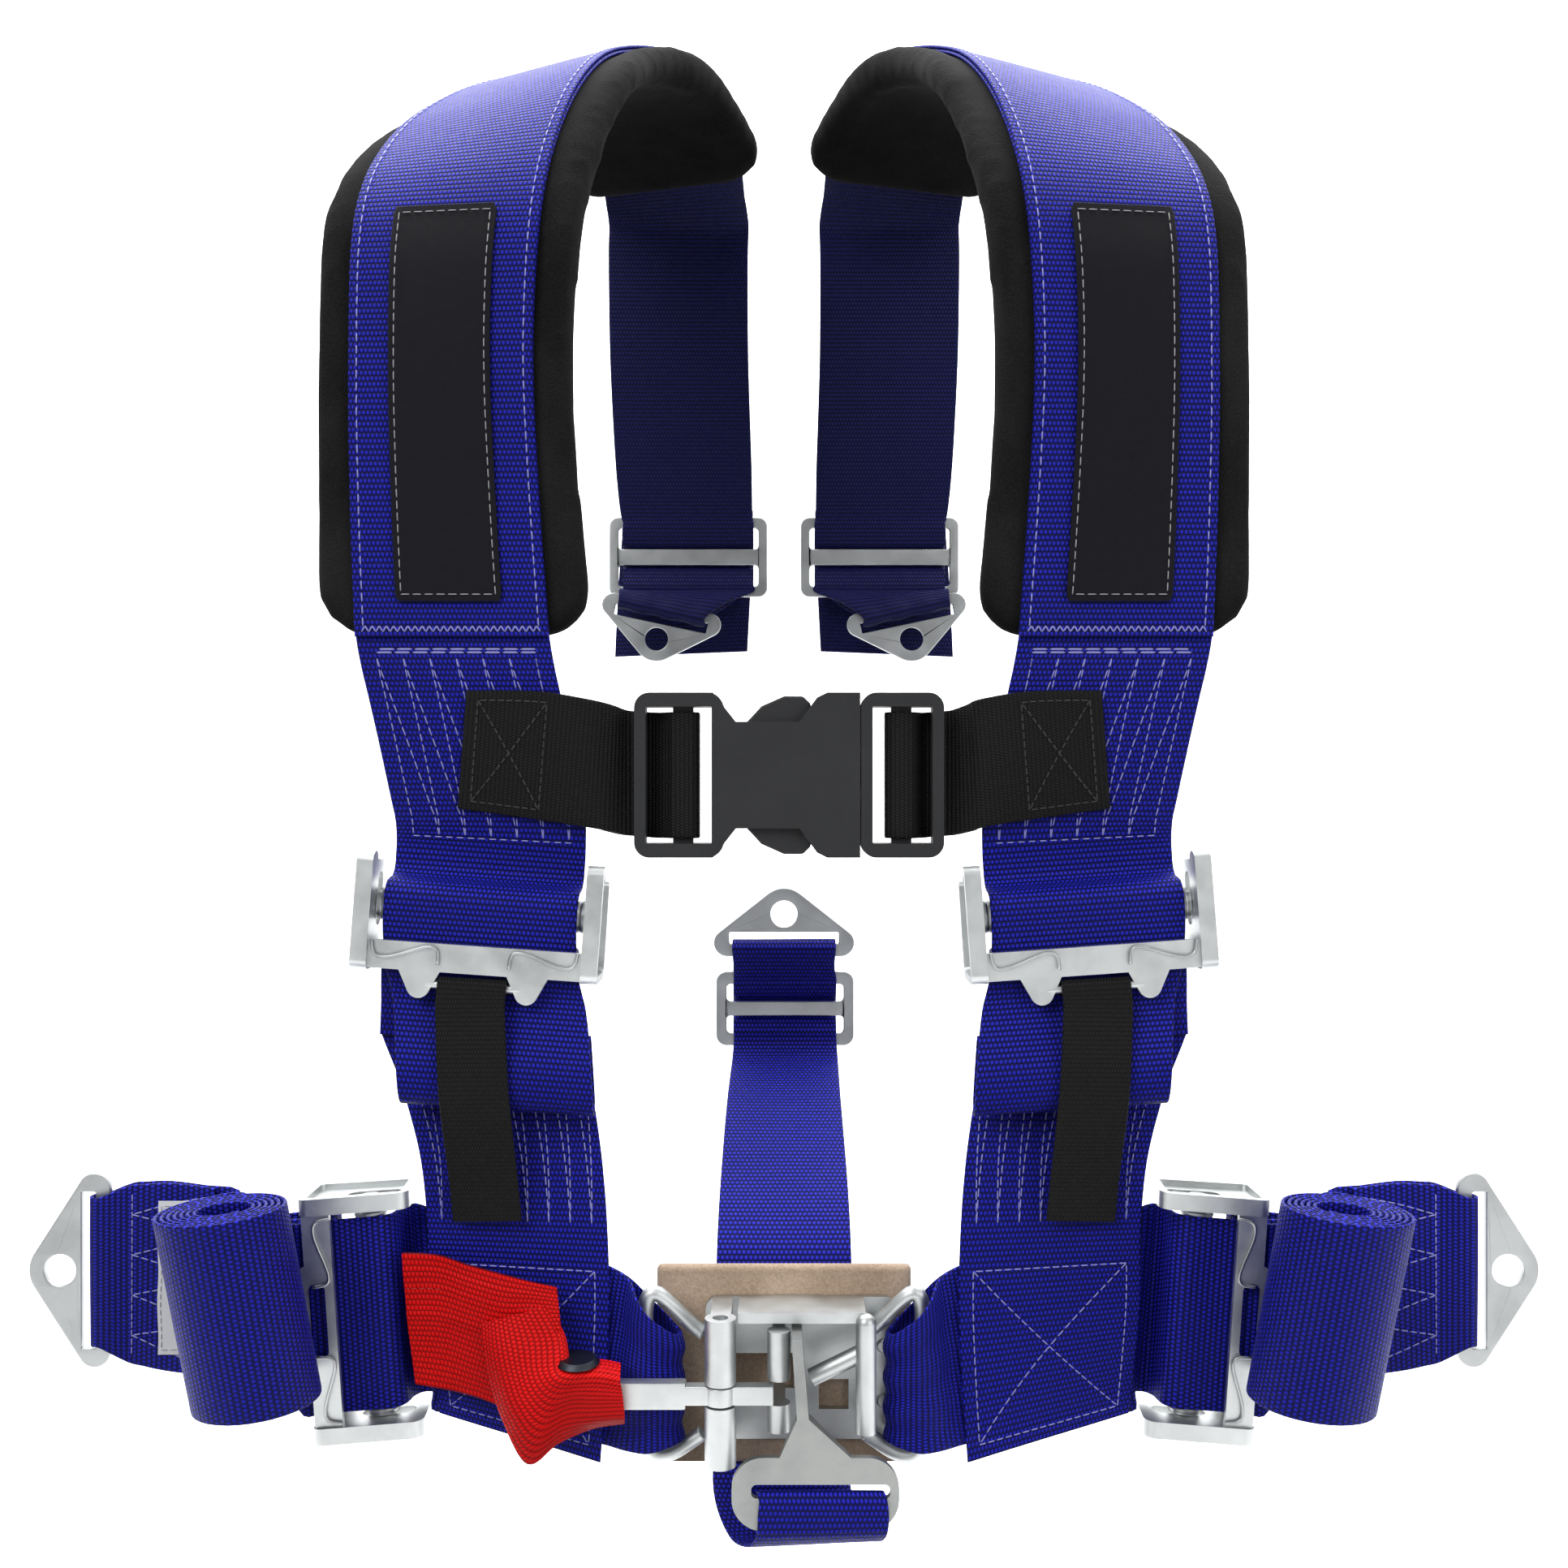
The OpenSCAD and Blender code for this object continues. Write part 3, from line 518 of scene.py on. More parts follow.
def sharpen(bm: bmesh.types.BMesh, angle: float) -> None:
    """Shades a mesh smooth, but keeps edges sharper than an angle in degrees sharp."""
    for face in bm.faces:
        face.smooth = True
    for edge in bm.edges:
        if len(edge.link_faces) == 2 and edge.calc_face_angle(0.0) > math.radians(angle):
            edge.smooth = False


def shade_smooth(obj: bpy.types.Object) -> None:
    """Shades every face of a piece smooth."""
    for face in obj.data.polygons:
        face.use_smooth = True


def mesh_from(bm: bmesh.types.BMesh, name: str, angle: float = 40.0) -> bpy.types.Mesh:
    """Turns an edited mesh into a smooth-shaded one whose faces point outwards.

    Args:
        bm: the edited mesh, which is freed.
        name: the mesh's name.
        angle: edges sharper than this many degrees stay sharp.

    Returns:
        The mesh.
    """
    if bm.calc_volume(signed=True) < 0:
        bmesh.ops.reverse_faces(bm, faces=bm.faces[:])
    sharpen(bm, angle)
    mesh = bpy.data.meshes.new(name)
    bm.to_mesh(mesh)
    bm.free()
    return mesh


def mirrored(obj: bpy.types.Object, name: str) -> bpy.types.Object:
    """Makes the other side's piece, with its own mesh.

    Args:
        obj: the finished left piece.
        name: the right piece's name.

    Returns:
        The right piece.
    """
    mesh = obj.data.copy()
    mesh.name = name
    bm = bmesh.new()
    bm.from_mesh(mesh)
    bmesh.ops.scale(bm, vec=(-1, 1, 1), verts=bm.verts[:])
    bmesh.ops.reverse_faces(bm, faces=bm.faces[:])
    bm.to_mesh(mesh)
    bm.free()
    return new_piece(name, mesh)


def modify(obj: bpy.types.Object, kind: str, name: str, **values: object) -> bpy.types.Modifier:
    """Adds a modifier and sets its values."""
    mod = obj.modifiers.new(name, kind)
    for key, value in values.items():
        setattr(mod, key, value)
    return mod


def apply_all(obj: bpy.types.Object) -> bpy.types.Object:
    """Applies every modifier of an object in order."""
    only(obj)
    for mod in list(obj.modifiers):
        bpy.ops.object.modifier_apply(modifier=mod.name)
    return obj


def band(name: str, route: Route, width: float, thick: float, columns: int = 16,
         wave: Optional[Wave] = None,
         narrow: Optional[Callable[[float], float]] = None) -> bpy.types.Object:
    """Weaves a strap along a route, with round edges and a map that follows the cloth.

    Args:
        name: the piece's name.
        route: the centreline.
        width: full width in millimetres.
        thick: thickness in millimetres.
        columns: how many strips lie across each face.
        wave: an extra lift in millimetres for a share across (-1 to 1) and a length along.
        narrow: the share of the width left at a length along.

    Returns:
        The strap.
    """
    half, r = width / 2, thick / 2
    edge = r / half
    flat = [-1 + edge + (2 - 2 * edge) * k / columns for k in range(columns + 1)]
    ring = [(u, -r) for u in flat]
    ring += [(1 - edge + edge * math.cos(math.radians(a)), r * math.sin(math.radians(a)))
             for a in (-54, -18, 18, 54)]
    ring += [(u, r) for u in reversed(flat)]
    ring += [(-u, -w) for u, w in ring[columns + 1:columns + 5]]
    bm = bmesh.new()
    layer = bm.loops.layers.uv.new("Weave")
    rows: List[List[bmesh.types.BMVert]] = []
    for i in range(len(route.points)):
        share = narrow(float(route.reach[i])) if narrow else 1.0
        row = []
        for u, w in ring:
            lift = w + (wave(u, float(route.reach[i])) if wave else 0.0)
            p = route.points[i] + route.halves[i] * half * u * share + route.faces[i] * lift
            row.append(bm.verts.new(p * MM))
        rows.append(row)
    count = len(ring)
    for i in range(len(rows) - 1):
        for j in range(count):
            k = (j + 1) % count
            face = bm.faces.new((rows[i][j], rows[i][k], rows[i + 1][k], rows[i + 1][j]))
            for loop, (m, q) in zip(face.loops, ((i, j), (i, k), (i + 1, k), (i + 1, j))):
                loop[layer].uv = (ring[q][0] * half * MM, route.reach[m] * MM)
    for row, m in ((rows[0], 0), (rows[-1], len(rows) - 1)):
        face = bm.faces.new(row if m == 0 else row[::-1])
        for loop in face.loops:
            loop[layer].uv = (0.0, route.reach[m] * MM)
    bmesh.ops.recalc_face_normals(bm, faces=bm.faces[:])
    return new_piece(name, mesh_from(bm, name, 60.0))


def curved(rows: Sequence[Sequence[Station]], steps: int) -> List[List[Station]]:
    """Refines a net of points along its lines and across them.

    Args:
        rows: lines of points, all of one length.
        steps: how many cells replace each one, both ways.

    Returns:
        The finer net.
    """
    lines = [smooth(row, steps) for row in rows]
    return [list(r) for r in zip(*[smooth(column, steps) for column in zip(*lines)])]


def draped(name: str, rows: Sequence[Sequence[Station]], thick: float, steps: int = 8,
           wave: Optional[Wave] = None) -> Tuple[bpy.types.Object, float]:
    """Builds a folded cloth panel from a net of points, with its own cloth map.

    Args:
        name: the piece's name.
        rows: lines across the cloth, one after another along it, in millimetres.
        thick: the cloth's thickness.
        steps: how finely the net is refined.
        wave: lift in millimetres at a share across and a share along.

    Returns:
        The piece, and the area of its middle surface in square metres.
    """
    net = np.array(curved(rows, steps))
    net = np.swapaxes(net, 0, 1)
    along = np.gradient(net, axis=0)
    across = np.gradient(net, axis=1)
    faces = np.cross(along, across)
    faces /= np.maximum(np.linalg.norm(faces, axis=2), TINY)[..., None]
    if wave:
        count = np.array(net.shape[:2]) - 1
        lift = np.array([[wave(j / count[1], i / count[0]) for j in range(net.shape[1])]
                         for i in range(net.shape[0])])
        net = net + faces * lift[..., None]
    length = np.zeros(net.shape[:2])
    length[1:] = np.cumsum(np.linalg.norm(np.diff(net, axis=0), axis=2).mean(axis=1))[:, None]
    width = np.zeros(net.shape[:2])
    width[:, 1:] = np.cumsum(np.linalg.norm(np.diff(net, axis=1), axis=2), axis=1)
    bm = bmesh.new()
    layer = bm.loops.layers.uv.new("Weave")
    high, wide = net.shape[:2]
    skins = [[[bm.verts.new((net[i, j] + faces[i, j] * side * thick / 2) * MM)
               for j in range(wide)] for i in range(high)] for side in (-1, 1)]

    def patch(corners: Sequence[Tuple[int, int, int]]) -> None:
        """Adds one face from its skin, row and column numbers."""
        face = bm.faces.new([skins[k][i][j] for k, i, j in corners])
        for loop, (k, i, j) in zip(face.loops, corners):
            loop[layer].uv = ((width[i, j] + k * thick) * MM, length[i, j] * MM)

    for i in range(high - 1):
        for j in range(wide - 1):
            patch([(0, i, j), (0, i, j + 1), (0, i + 1, j + 1), (0, i + 1, j)])
            patch([(1, i, j), (1, i + 1, j), (1, i + 1, j + 1), (1, i, j + 1)])
    for i in range(high - 1):
        for j in (0, wide - 1):
            patch([(0, i, j), (0, i + 1, j), (1, i + 1, j), (1, i, j)])
    for j in range(wide - 1):
        for i in (0, high - 1):
            patch([(0, i, j), (1, i, j), (1, i, j + 1), (0, i, j + 1)])
    bmesh.ops.recalc_face_normals(bm, faces=bm.faces[:])
    obj = new_piece(name, mesh_from(bm, name, 60.0))
    modify(obj, "BEVEL", "round edges", width=0.3 * thick * MM, segments=3, limit_method="ANGLE",
           angle_limit=math.radians(60))
    apply_all(obj)
    a, b = np.diff(net, axis=0)[:, :-1], np.diff(net, axis=1)[:-1]
    return obj, float(np.linalg.norm(np.cross(a, b), axis=2).sum()) * MM * MM


def frame_path(half: float, low: float, high: float) -> List[Spot]:
    """Draws the closed outline of a sewn rectangle.

    Args:
        half: half its width in millimetres.
        low: where it starts along the strap.
        high: where it ends.

    Returns:
        Its corners, the first one twice.
    """
    return [(-half, low), (half, low), (half, high), (-half, high), (-half, low)]


class Seams:
    """Collects the stitches of one colour and builds them as a single piece."""

    # Share along a stitch, share of the thread's radius, and how many radii it dips there.
    PROFILE = ((0.0, 0.45, 0.35), (0.16, 0.9, 0.08), (0.84, 0.9, 0.08), (1.0, 0.45, 0.35))
    SIDES = 6
    SHORTEST = 0.4

    def __init__(self, thread: float = 0.36) -> None:
        """Starts with no stitches and a thread radius in millimetres."""
        self.thread = thread
        self.bm = bmesh.new()
        self.count = 0

    def stitch(self, a: np.ndarray, b: np.ndarray, up: np.ndarray) -> None:
        """Adds one stitch, a short round thread whose ends dip into the cloth.

        Args:
            a: its start in millimetres.
            b: its end.
            up: the cloth's outward direction.
        """
        along = b - a
        long = float(np.linalg.norm(along))
        if long < self.SHORTEST:
            return
        along = along / long
        side = np.cross(along, up)
        side /= max(float(np.linalg.norm(side)), TINY)
        rings = []
        for t, size, dip in self.PROFILE:
            ring = []
            for k in range(self.SIDES):
                c, s = math.cos(math.pi * k / 3), math.sin(math.pi * k / 3)
                p = a + along * long * t + (side * c + up * s) * self.thread * size
                ring.append(self.bm.verts.new((p - up * dip * self.thread) * MM))
            rings.append(ring)
        for r, q in zip(rings, rings[1:]):
            for k in range(self.SIDES):
                n = (k + 1) % self.SIDES
                self.bm.faces.new((r[k], r[n], q[n], q[k]))
        self.bm.faces.new(rings[0][::-1])
        self.bm.faces.new(rings[-1])
        self.count += 1

    def run(self, route: Route, path: Sequence[Spot], lift: float, long: float = 3.0,
            gap: float = 1.1) -> None:
        """Sews along a line drawn on a strap.

        Args:
            route: the strap's centreline.
            path: corners of the line, as millimetres across and along.
            lift: how far the thread lies off the centreline.
            long: the length of a stitch.
            gap: the cloth left between stitches.
        """
        for (u0, v0), (u1, v1) in zip(path, path[1:]):
            reach = math.hypot(u1 - u0, v1 - v0)
            count = max(1, round(reach / (long + gap)))
            for k in range(count):
                t0, t1 = k / count, (k + long / (long + gap)) / count
                start = (u0 + (u1 - u0) * t0, v0 + (v1 - v0) * t0)
                a, low = route.spot(*start, lift), route.spot(*start, 0.0)
                b = route.spot(u0 + (u1 - u0) * t1, v0 + (v1 - v0) * t1, lift)
                up = (a - low) / max(float(np.linalg.norm(a - low)), TINY)
                self.stitch(a, b, up)

    def build(self, name: str) -> bpy.types.Object:
        """Makes the piece that holds every stitch."""
        LOG.info("%s: %d stitches", name, self.count)
        bmesh.ops.recalc_face_normals(self.bm, faces=self.bm.faces[:])
        return new_piece(name, mesh_from(self.bm, name, 70.0))


# ---- Finishes ----


def set_stops(node: bpy.types.Node, stops: Sequence[Tuple[float, Colour]]) -> None:
    """Writes the places and colours of a ramp node's stops."""
    elements = node.color_ramp.elements
    while len(elements) < len(stops):
        elements.new(0.5)
    for element, (place, colour) in zip(elements, stops):
        element.position = place
        element.color = (*colour, 1.0)


class Bench:
    """Adds and joins the shader nodes of one material."""

    def __init__(self, name: str) -> None:
        """Starts a material with its shader.

        Args:
            name: the material's name.
        """
        self.material = bpy.data.materials.new(name)
        self.material.use_nodes = True
        self.tree = self.material.node_tree
        self.shader = self.tree.nodes["Principled BSDF"]

    def node(self, kind: str, **values: object) -> bpy.types.Node:
        """Adds a node and sets its properties."""
        made = self.tree.nodes.new(kind)
        for key, value in values.items():
            setattr(made, key, value)
        return made

    def join(self, source: object, target: bpy.types.NodeSocket) -> None:
        """Links a socket to an input, or sets the input's value."""
        if isinstance(source, bpy.types.NodeSocket):
            self.tree.links.new(source, target)
        else:
            target.default_value = source

    def math(self, operation: str, a: object, b: object = 0.0) -> bpy.types.NodeSocket:
        """Computes with one or two values."""
        made = self.node("ShaderNodeMath", operation=operation)
        self.join(a, made.inputs[0])
        self.join(b, made.inputs[1])
        return made.outputs[0]

    def cloth_map(self) -> Tuple[bpy.types.NodeSocket, bpy.types.NodeSocket]:
        """Reads the piece's own map, in metres across and along."""
        uv = self.node("ShaderNodeUVMap", uv_map="Weave")
        parts = self.node("ShaderNodeSeparateXYZ")
        self.join(uv.outputs[0], parts.inputs[0])
        return parts.outputs[0], parts.outputs[1]

    def noise(self, scale: float, detail: float = 2.0, stretch: Sequence[float] = (1, 1, 1),
              ) -> bpy.types.NodeSocket:
        """Reads soft noise at a place on the object.

        Args:
            scale: cells in a metre.
            detail: octaves.
            stretch: how the noise is scaled along each axis.

        Returns:
            The noise value.
        """
        where = self.node("ShaderNodeTexCoord").outputs["Object"]
        mapping = self.node("ShaderNodeMapping")
        mapping.inputs["Scale"].default_value = tuple(stretch)
        self.join(where, mapping.inputs["Vector"])
        made = self.node("ShaderNodeTexNoise")
        self.join(mapping.outputs[0], made.inputs["Vector"])
        made.inputs["Scale"].default_value = scale
        made.inputs["Detail"].default_value = detail
        return made.outputs[0]

    def ramp(self, value: bpy.types.NodeSocket, stops: Sequence[Tuple[float, Colour]],
             ) -> bpy.types.NodeSocket:
        """Turns a value into a colour through stops."""
        made = self.node("ShaderNodeValToRGB")
        set_stops(made, stops)
        self.join(value, made.inputs[0])
        return made.outputs[0]

    def blend(self, factor: object, a: object, b: object, mode: str = "MIX",
              ) -> bpy.types.NodeSocket:
        """Mixes two colours."""
        made = self.node("ShaderNodeMix", data_type="RGBA", blend_type=mode)
        self.join(factor, made.inputs[0])
        for source, target in ((a, made.inputs[6]), (b, made.inputs[7])):
            plain_colour = not isinstance(source, bpy.types.NodeSocket)
            self.join((*source, 1.0) if plain_colour else source, target)
        return made.outputs[2]

    def bump(self, height: bpy.types.NodeSocket, distance: float, strength: float = 1.0,
             under: Optional[bpy.types.NodeSocket] = None) -> bpy.types.NodeSocket:
        """Raises a surface by a height map.

        Args:
            height: the height from 0 to 1.
            distance: how far 1 stands out, in metres.
            strength: how strongly it shows.
            under: a bump below this one.

        Returns:
            The normal.
        """
        made = self.node("ShaderNodeBump")
        made.inputs["Strength"].default_value = strength
        made.inputs["Distance"].default_value = distance
        self.join(height, made.inputs["Height"])
        if under is not None:
            self.join(under, made.inputs["Normal"])
        return made.outputs[0]

    def finish(self, **values: object) -> bpy.types.Material:
        """Sets the shader's own sockets and returns the material."""
        for key, value in values.items():
            self.join(value, self.shader.inputs[key.replace("_", " ")])
        return self.material


@dataclass(frozen=True)
class Webbing:
    """Woven strap webbing: rows of yarn floats, each row half a float on from the last."""

    name: str
    # deep, mid and high run from the painted shade in the gaps between floats to the painted
    # highlight on the float crowns.
    deep: Colour
    mid: Colour
    high: Colour
    across: float = 1.75
    along: float = 2.2
    relief: float = 0.35
    rough: float = 0.5
    sheen: float = 0.01
    gloss: float = 0.12

    def make(self) -> bpy.types.Material:
        """Builds the material."""
        b = Bench(self.name)
        u, v = b.cloth_map()
        row = b.math("DIVIDE", v, self.along * MM)
        step = b.math("MULTIPLY", b.math("FLOORED_MODULO", b.math("FLOOR", row), 2.0), 0.5)
        col = b.math("ADD", b.math("DIVIDE", u, self.across * MM), step)
        hump = b.math("SINE", b.math("MULTIPLY", b.math("FRACT", col), math.pi))
        ridge = b.math("SINE", b.math("MULTIPLY", b.math("FRACT", row), math.pi))
        height = b.math("MULTIPLY", b.math("POWER", b.math("ABSOLUTE", hump), 0.7),
                        b.math("POWER", b.math("ABSOLUTE", ridge), 0.8))
        twill = b.math("SINE", b.math("MULTIPLY", b.math("ADD", u, b.math("MULTIPLY", v, 0.6)),
                                      2 * math.pi / (0.42 * MM)))
        yarn = b.math("ADD", height, b.math("MULTIPLY", twill, 0.07))
        # The colour follows the yarn's height: the dark gaps between floats are painted shade and
        # the bright float crowns are painted highlight; the float pattern itself is real.
        colour = b.ramp(height, ((0.0, self.deep), (0.45, self.mid), (1.0, self.high)))
        fade = b.ramp(b.noise(22.0, 3.0), ((0.3, (0.86, 0.86, 0.88)), (0.7, (1.0, 1.0, 1.0))))
        colour = b.blend(1.0, colour, fade, "MULTIPLY")
        rough = b.math("ADD", b.math("MULTIPLY", b.noise(300.0), 0.16), self.rough - 0.08)
        return b.finish(Base_Color=colour, Roughness=rough, Sheen_Weight=self.sheen,
                        Sheen_Roughness=0.4, Specular_IOR_Level=self.gloss,
                        Normal=b.bump(yarn, self.relief * MM, 0.9))


@dataclass(frozen=True)
class Nap:
    """Short pile, of velour or split leather, that lies in soft patches.

    The coarse noise makes the patches and the fine one the pile; each has a scale and a detail.
    """

    name: str
    deep: Colour
    high: Colour
    coarse: Spot
    fine: Spot
    share: float
    stops: Spot
    relief: Tuple[float, float, float]
    rough: float
    sheen: float
    gloss: float
    stretch: Tuple[float, float, float] = (1, 1, 1)

    def make(self) -> bpy.types.Material:
        """Builds the material."""
        b = Bench(self.name)
        patches = b.noise(*self.coarse, self.stretch)
        pile = b.noise(*self.fine)
        tone = b.math("ADD", b.math("MULTIPLY", patches, self.share),
                      b.math("MULTIPLY", pile, 1.0 - self.share))
        colour = b.ramp(tone, tuple(zip(self.stops, (self.deep, self.high))))
        high, low, soft = self.relief
        return b.finish(Base_Color=colour, Roughness=self.rough, Sheen_Weight=self.sheen,
                        Sheen_Roughness=0.5, Specular_IOR_Level=self.gloss,
                        Normal=b.bump(pile, high, 0.8, b.bump(patches, low, soft)))


@dataclass(frozen=True)
class PlatedSteel:
    """Pressed or cast steel with a bright, slightly mottled zinc plate."""

    name: str
    tone: Colour = (0.5, 0.52, 0.52)
    worn: Colour = (0.36, 0.375, 0.375)
    rough: float = 0.44
    grain: float = 0.00005

    def make(self) -> bpy.types.Material:
        """Builds the material."""
        b = Bench(self.name)
        cloud = b.noise(60.0, 4.0)
        fleck = b.noise(900.0, 3.0)
        colour = b.blend(b.math("MULTIPLY", fleck, 0.5), b.ramp(
            cloud, ((0.32, self.worn), (0.6, self.tone))), self.tone)
        rough = b.math("ADD", b.math("MULTIPLY", cloud, 0.22),
                       b.math("ADD", b.math("MULTIPLY", fleck, 0.14), self.rough - 0.17))
        return b.finish(Base_Color=colour, Metallic=1.0, Roughness=rough,
                        Normal=b.bump(fleck, self.grain, 0.3))


@dataclass(frozen=True)
class Grain:
    """A plain surface of two close tones with a fine grain: nylon, thread or tag cloth."""

    name: str
    tone: Colour
    shade: Colour
    cloud: Spot
    fine: Spot
    relief: Spot
    rough: float = 0.5
    rough_swing: float = 0.0
    sheen: float = 0.0
    gloss: float = 0.5

    def make(self) -> bpy.types.Material:
        """Builds the material."""
        b = Bench(self.name)
        grain = b.noise(*self.fine)
        colour = b.blend(b.noise(*self.cloud), self.shade, self.tone)
        rough = b.math("ADD", b.math("MULTIPLY", grain, self.rough_swing), self.rough)
        return b.finish(Base_Color=colour, Roughness=rough, Sheen_Weight=self.sheen,
                        Specular_IOR_Level=self.gloss, Normal=b.bump(grain, *self.relief))


def thread(name: str, tone: Colour, shade: Colour) -> bpy.types.Material:
    """Makes the finish of a twisted sewing thread."""
    twist = (2600.0, 1.0)
    return Grain(name, tone, shade, twist, twist, (0.0002, 0.7), sheen=0.2).make()


class Wardrobe:
    """Every finish, made once and shared by the pieces."""

    def __init__(self) -> None:
        """Builds the materials."""
        self.blue = Webbing("royal blue webbing", (0.0008, 0.001, 0.02), (0.004, 0.0052, 0.15),
                            (0.024, 0.03, 0.66)).make()
        # A darker copy of the royal blue webbing, used as painted shade on the shoulder strap's
        # rear run.
        self.painted_shade_blue = Webbing("navy webbing", (0.001, 0.0014, 0.014), (0.003, 0.004, 0.05),
                            (0.014, 0.018, 0.16)).make()
        self.black = Webbing("black webbing", (0.002, 0.002, 0.002), (0.006, 0.006, 0.006),
                             (0.018, 0.018, 0.0175), 1.1, 1.75, 0.45).make()
        self.patch = Webbing("black patch cloth", (0.003, 0.003, 0.005), (0.006, 0.006, 0.009),
                             (0.01, 0.01, 0.015), 0.5, 0.6, 0.08, 0.6).make()
        self.red = Webbing("red webbing", (0.2, 0.001, 0.001), (0.74, 0.003, 0.003),
                           (1.0, 0.012, 0.012), 1.6, 2.0, 0.3).make()
        self.velour = Nap("black velour", (0.007, 0.007, 0.0072), (0.024, 0.024, 0.0245),
                          (34.0, 4.0), (1500.0, 2.0), 0.6, (0.34, 0.66), (0.0006, 0.0012, 0.5),
                          0.95, 0.02, 0.05, (1, 1, 0.6)).make()
        self.zinc = PlatedSteel("bright zinc plate", (0.58, 0.6, 0.6), (0.44, 0.455, 0.455)).make()
        self.plate = PlatedSteel("satin zinc plate", (0.44, 0.455, 0.46), (0.33, 0.34, 0.345),
                                 0.46, 0.00006).make()
        self.hook = PlatedSteel("cast hook plate", (0.34, 0.35, 0.34), (0.24, 0.25, 0.25), 0.52,
                                0.00012).make()
        self.bar = PlatedSteel("turned steel", (0.45, 0.46, 0.47), (0.3, 0.31, 0.32), 0.4).make()
        self.dark = PlatedSteel("blackened steel", (0.05, 0.055, 0.065), (0.03, 0.03, 0.035),
                                0.4).make()
        self.nylon = Grain("textured nylon", (0.03, 0.0305, 0.033), (0.016, 0.0165, 0.018),
                           (45.0, 3.0), (1300.0, 3.0), (0.00022, 0.7), 0.42, 0.2,
                           gloss=0.3).make()
        self.suede = Nap("tan suede", (0.33, 0.235, 0.165), (0.52, 0.4, 0.3), (30.0, 5.0),
                         (1100.0, 4.0), 0.55, (0.36, 0.64), (0.0004, 0.0008, 0.4), 0.9, 0.1,
                         0.15).make()
        self.white_thread = thread("pale thread", (0.36, 0.36, 0.8), (0.22, 0.22, 0.62))
        self.grey_thread = thread("grey thread", (0.5, 0.5, 0.52), (0.25, 0.25, 0.27))
        self.black_thread = thread("black thread", (0.004, 0.004, 0.004), (0.002, 0.002, 0.002))
        self.red_thread = thread("red thread", (0.6, 0.015, 0.012), (0.35, 0.006, 0.006))
        tag = (0.83, 0.84, 0.86)
        self.tag = Grain("white tag cloth", tag, tuple(0.9 * c for c in tag), (40.0, 2.0),
                         (1800.0, 2.0), (0.0001, 0.6), 0.7, sheen=0.1).make()


def dress(obj: bpy.types.Object, material: bpy.types.Material) -> bpy.types.Object:
    """Gives a piece one material."""
    obj.data.materials.clear()
    obj.data.materials.append(material)
    return obj


def dress_metal(node: str, frame: Dict, material: bpy.types.Material, edge: float = 0.5) -> None:
    """Finishes a loaded hard node, with its edges rounded.

    Args:
        node: the node's name.
        frame: the loaded frame.
        material: its finish.
        edge: the edges' radius in millimetres.
    """
    obj = frame["nodes"][node]
    dress(obj, material)
    modify(obj, "WELD", "close", merge_threshold=1e-6)
    if edge > 0:
        modify(obj, "BEVEL", "soft edges", width=edge * MM, segments=2, limit_method="ANGLE",
               angle_limit=math.radians(32), use_clamp_overlap=True)
    modify(obj, "WEIGHTED_NORMAL", "even shading", keep_sharp=False, weight=80)
    LOG.info("dressed %s", node)


# ---- Sub-assemblies ----


@dataclass
class Workshop:
    """What every sub-assembly needs: the frame, the finishes and a record of its pieces."""

    frame: Dict
    finish: Wardrobe
    made: List[bpy.types.Object] = field(default_factory=list)

    def put(self, obj: bpy.types.Object, material: bpy.types.Material, body: str,
            nodes: Sequence[str] = (), slot: str = "") -> bpy.types.Object:
        """Dresses a finished piece and hangs it on its body.

        Args:
            obj: the piece.
            material: its finish.
            body: the body that it rides on.
            nodes: the loaded nodes that it stands for.
            slot: not used.

        Returns:
            The piece.
        """
        dress(obj, material)
        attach(obj, body)
        if nodes:
            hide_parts(*nodes)
        self.made.append(obj)
        LOG.info("made %s", obj.name)
        return obj

    def pair(self, left: bpy.types.Object, stem: str, material: bpy.types.Material,
             body: str, node: str = "", slot: str = "",
             ) -> Tuple[bpy.types.Object, bpy.types.Object]:
        """Hangs a left piece and its mirror image.

        Args:
            left: the finished left piece.
            stem: the name that both share.
            material: their finish.
            body: a body's name; {side} in it is filled in.
            node: the paired node that they stand for.
            slot: not used; passed on to put.

        Returns:
            The left and right pieces.
        """
        right = mirrored(left, Side.RIGHT.node(stem))
        for side, obj in ((Side.LEFT, left), (Side.RIGHT, right)):
            self.put(obj, material, body.replace("{side}", side.value),
                     [side.node(node)] if node else (), slot)
        return left, right


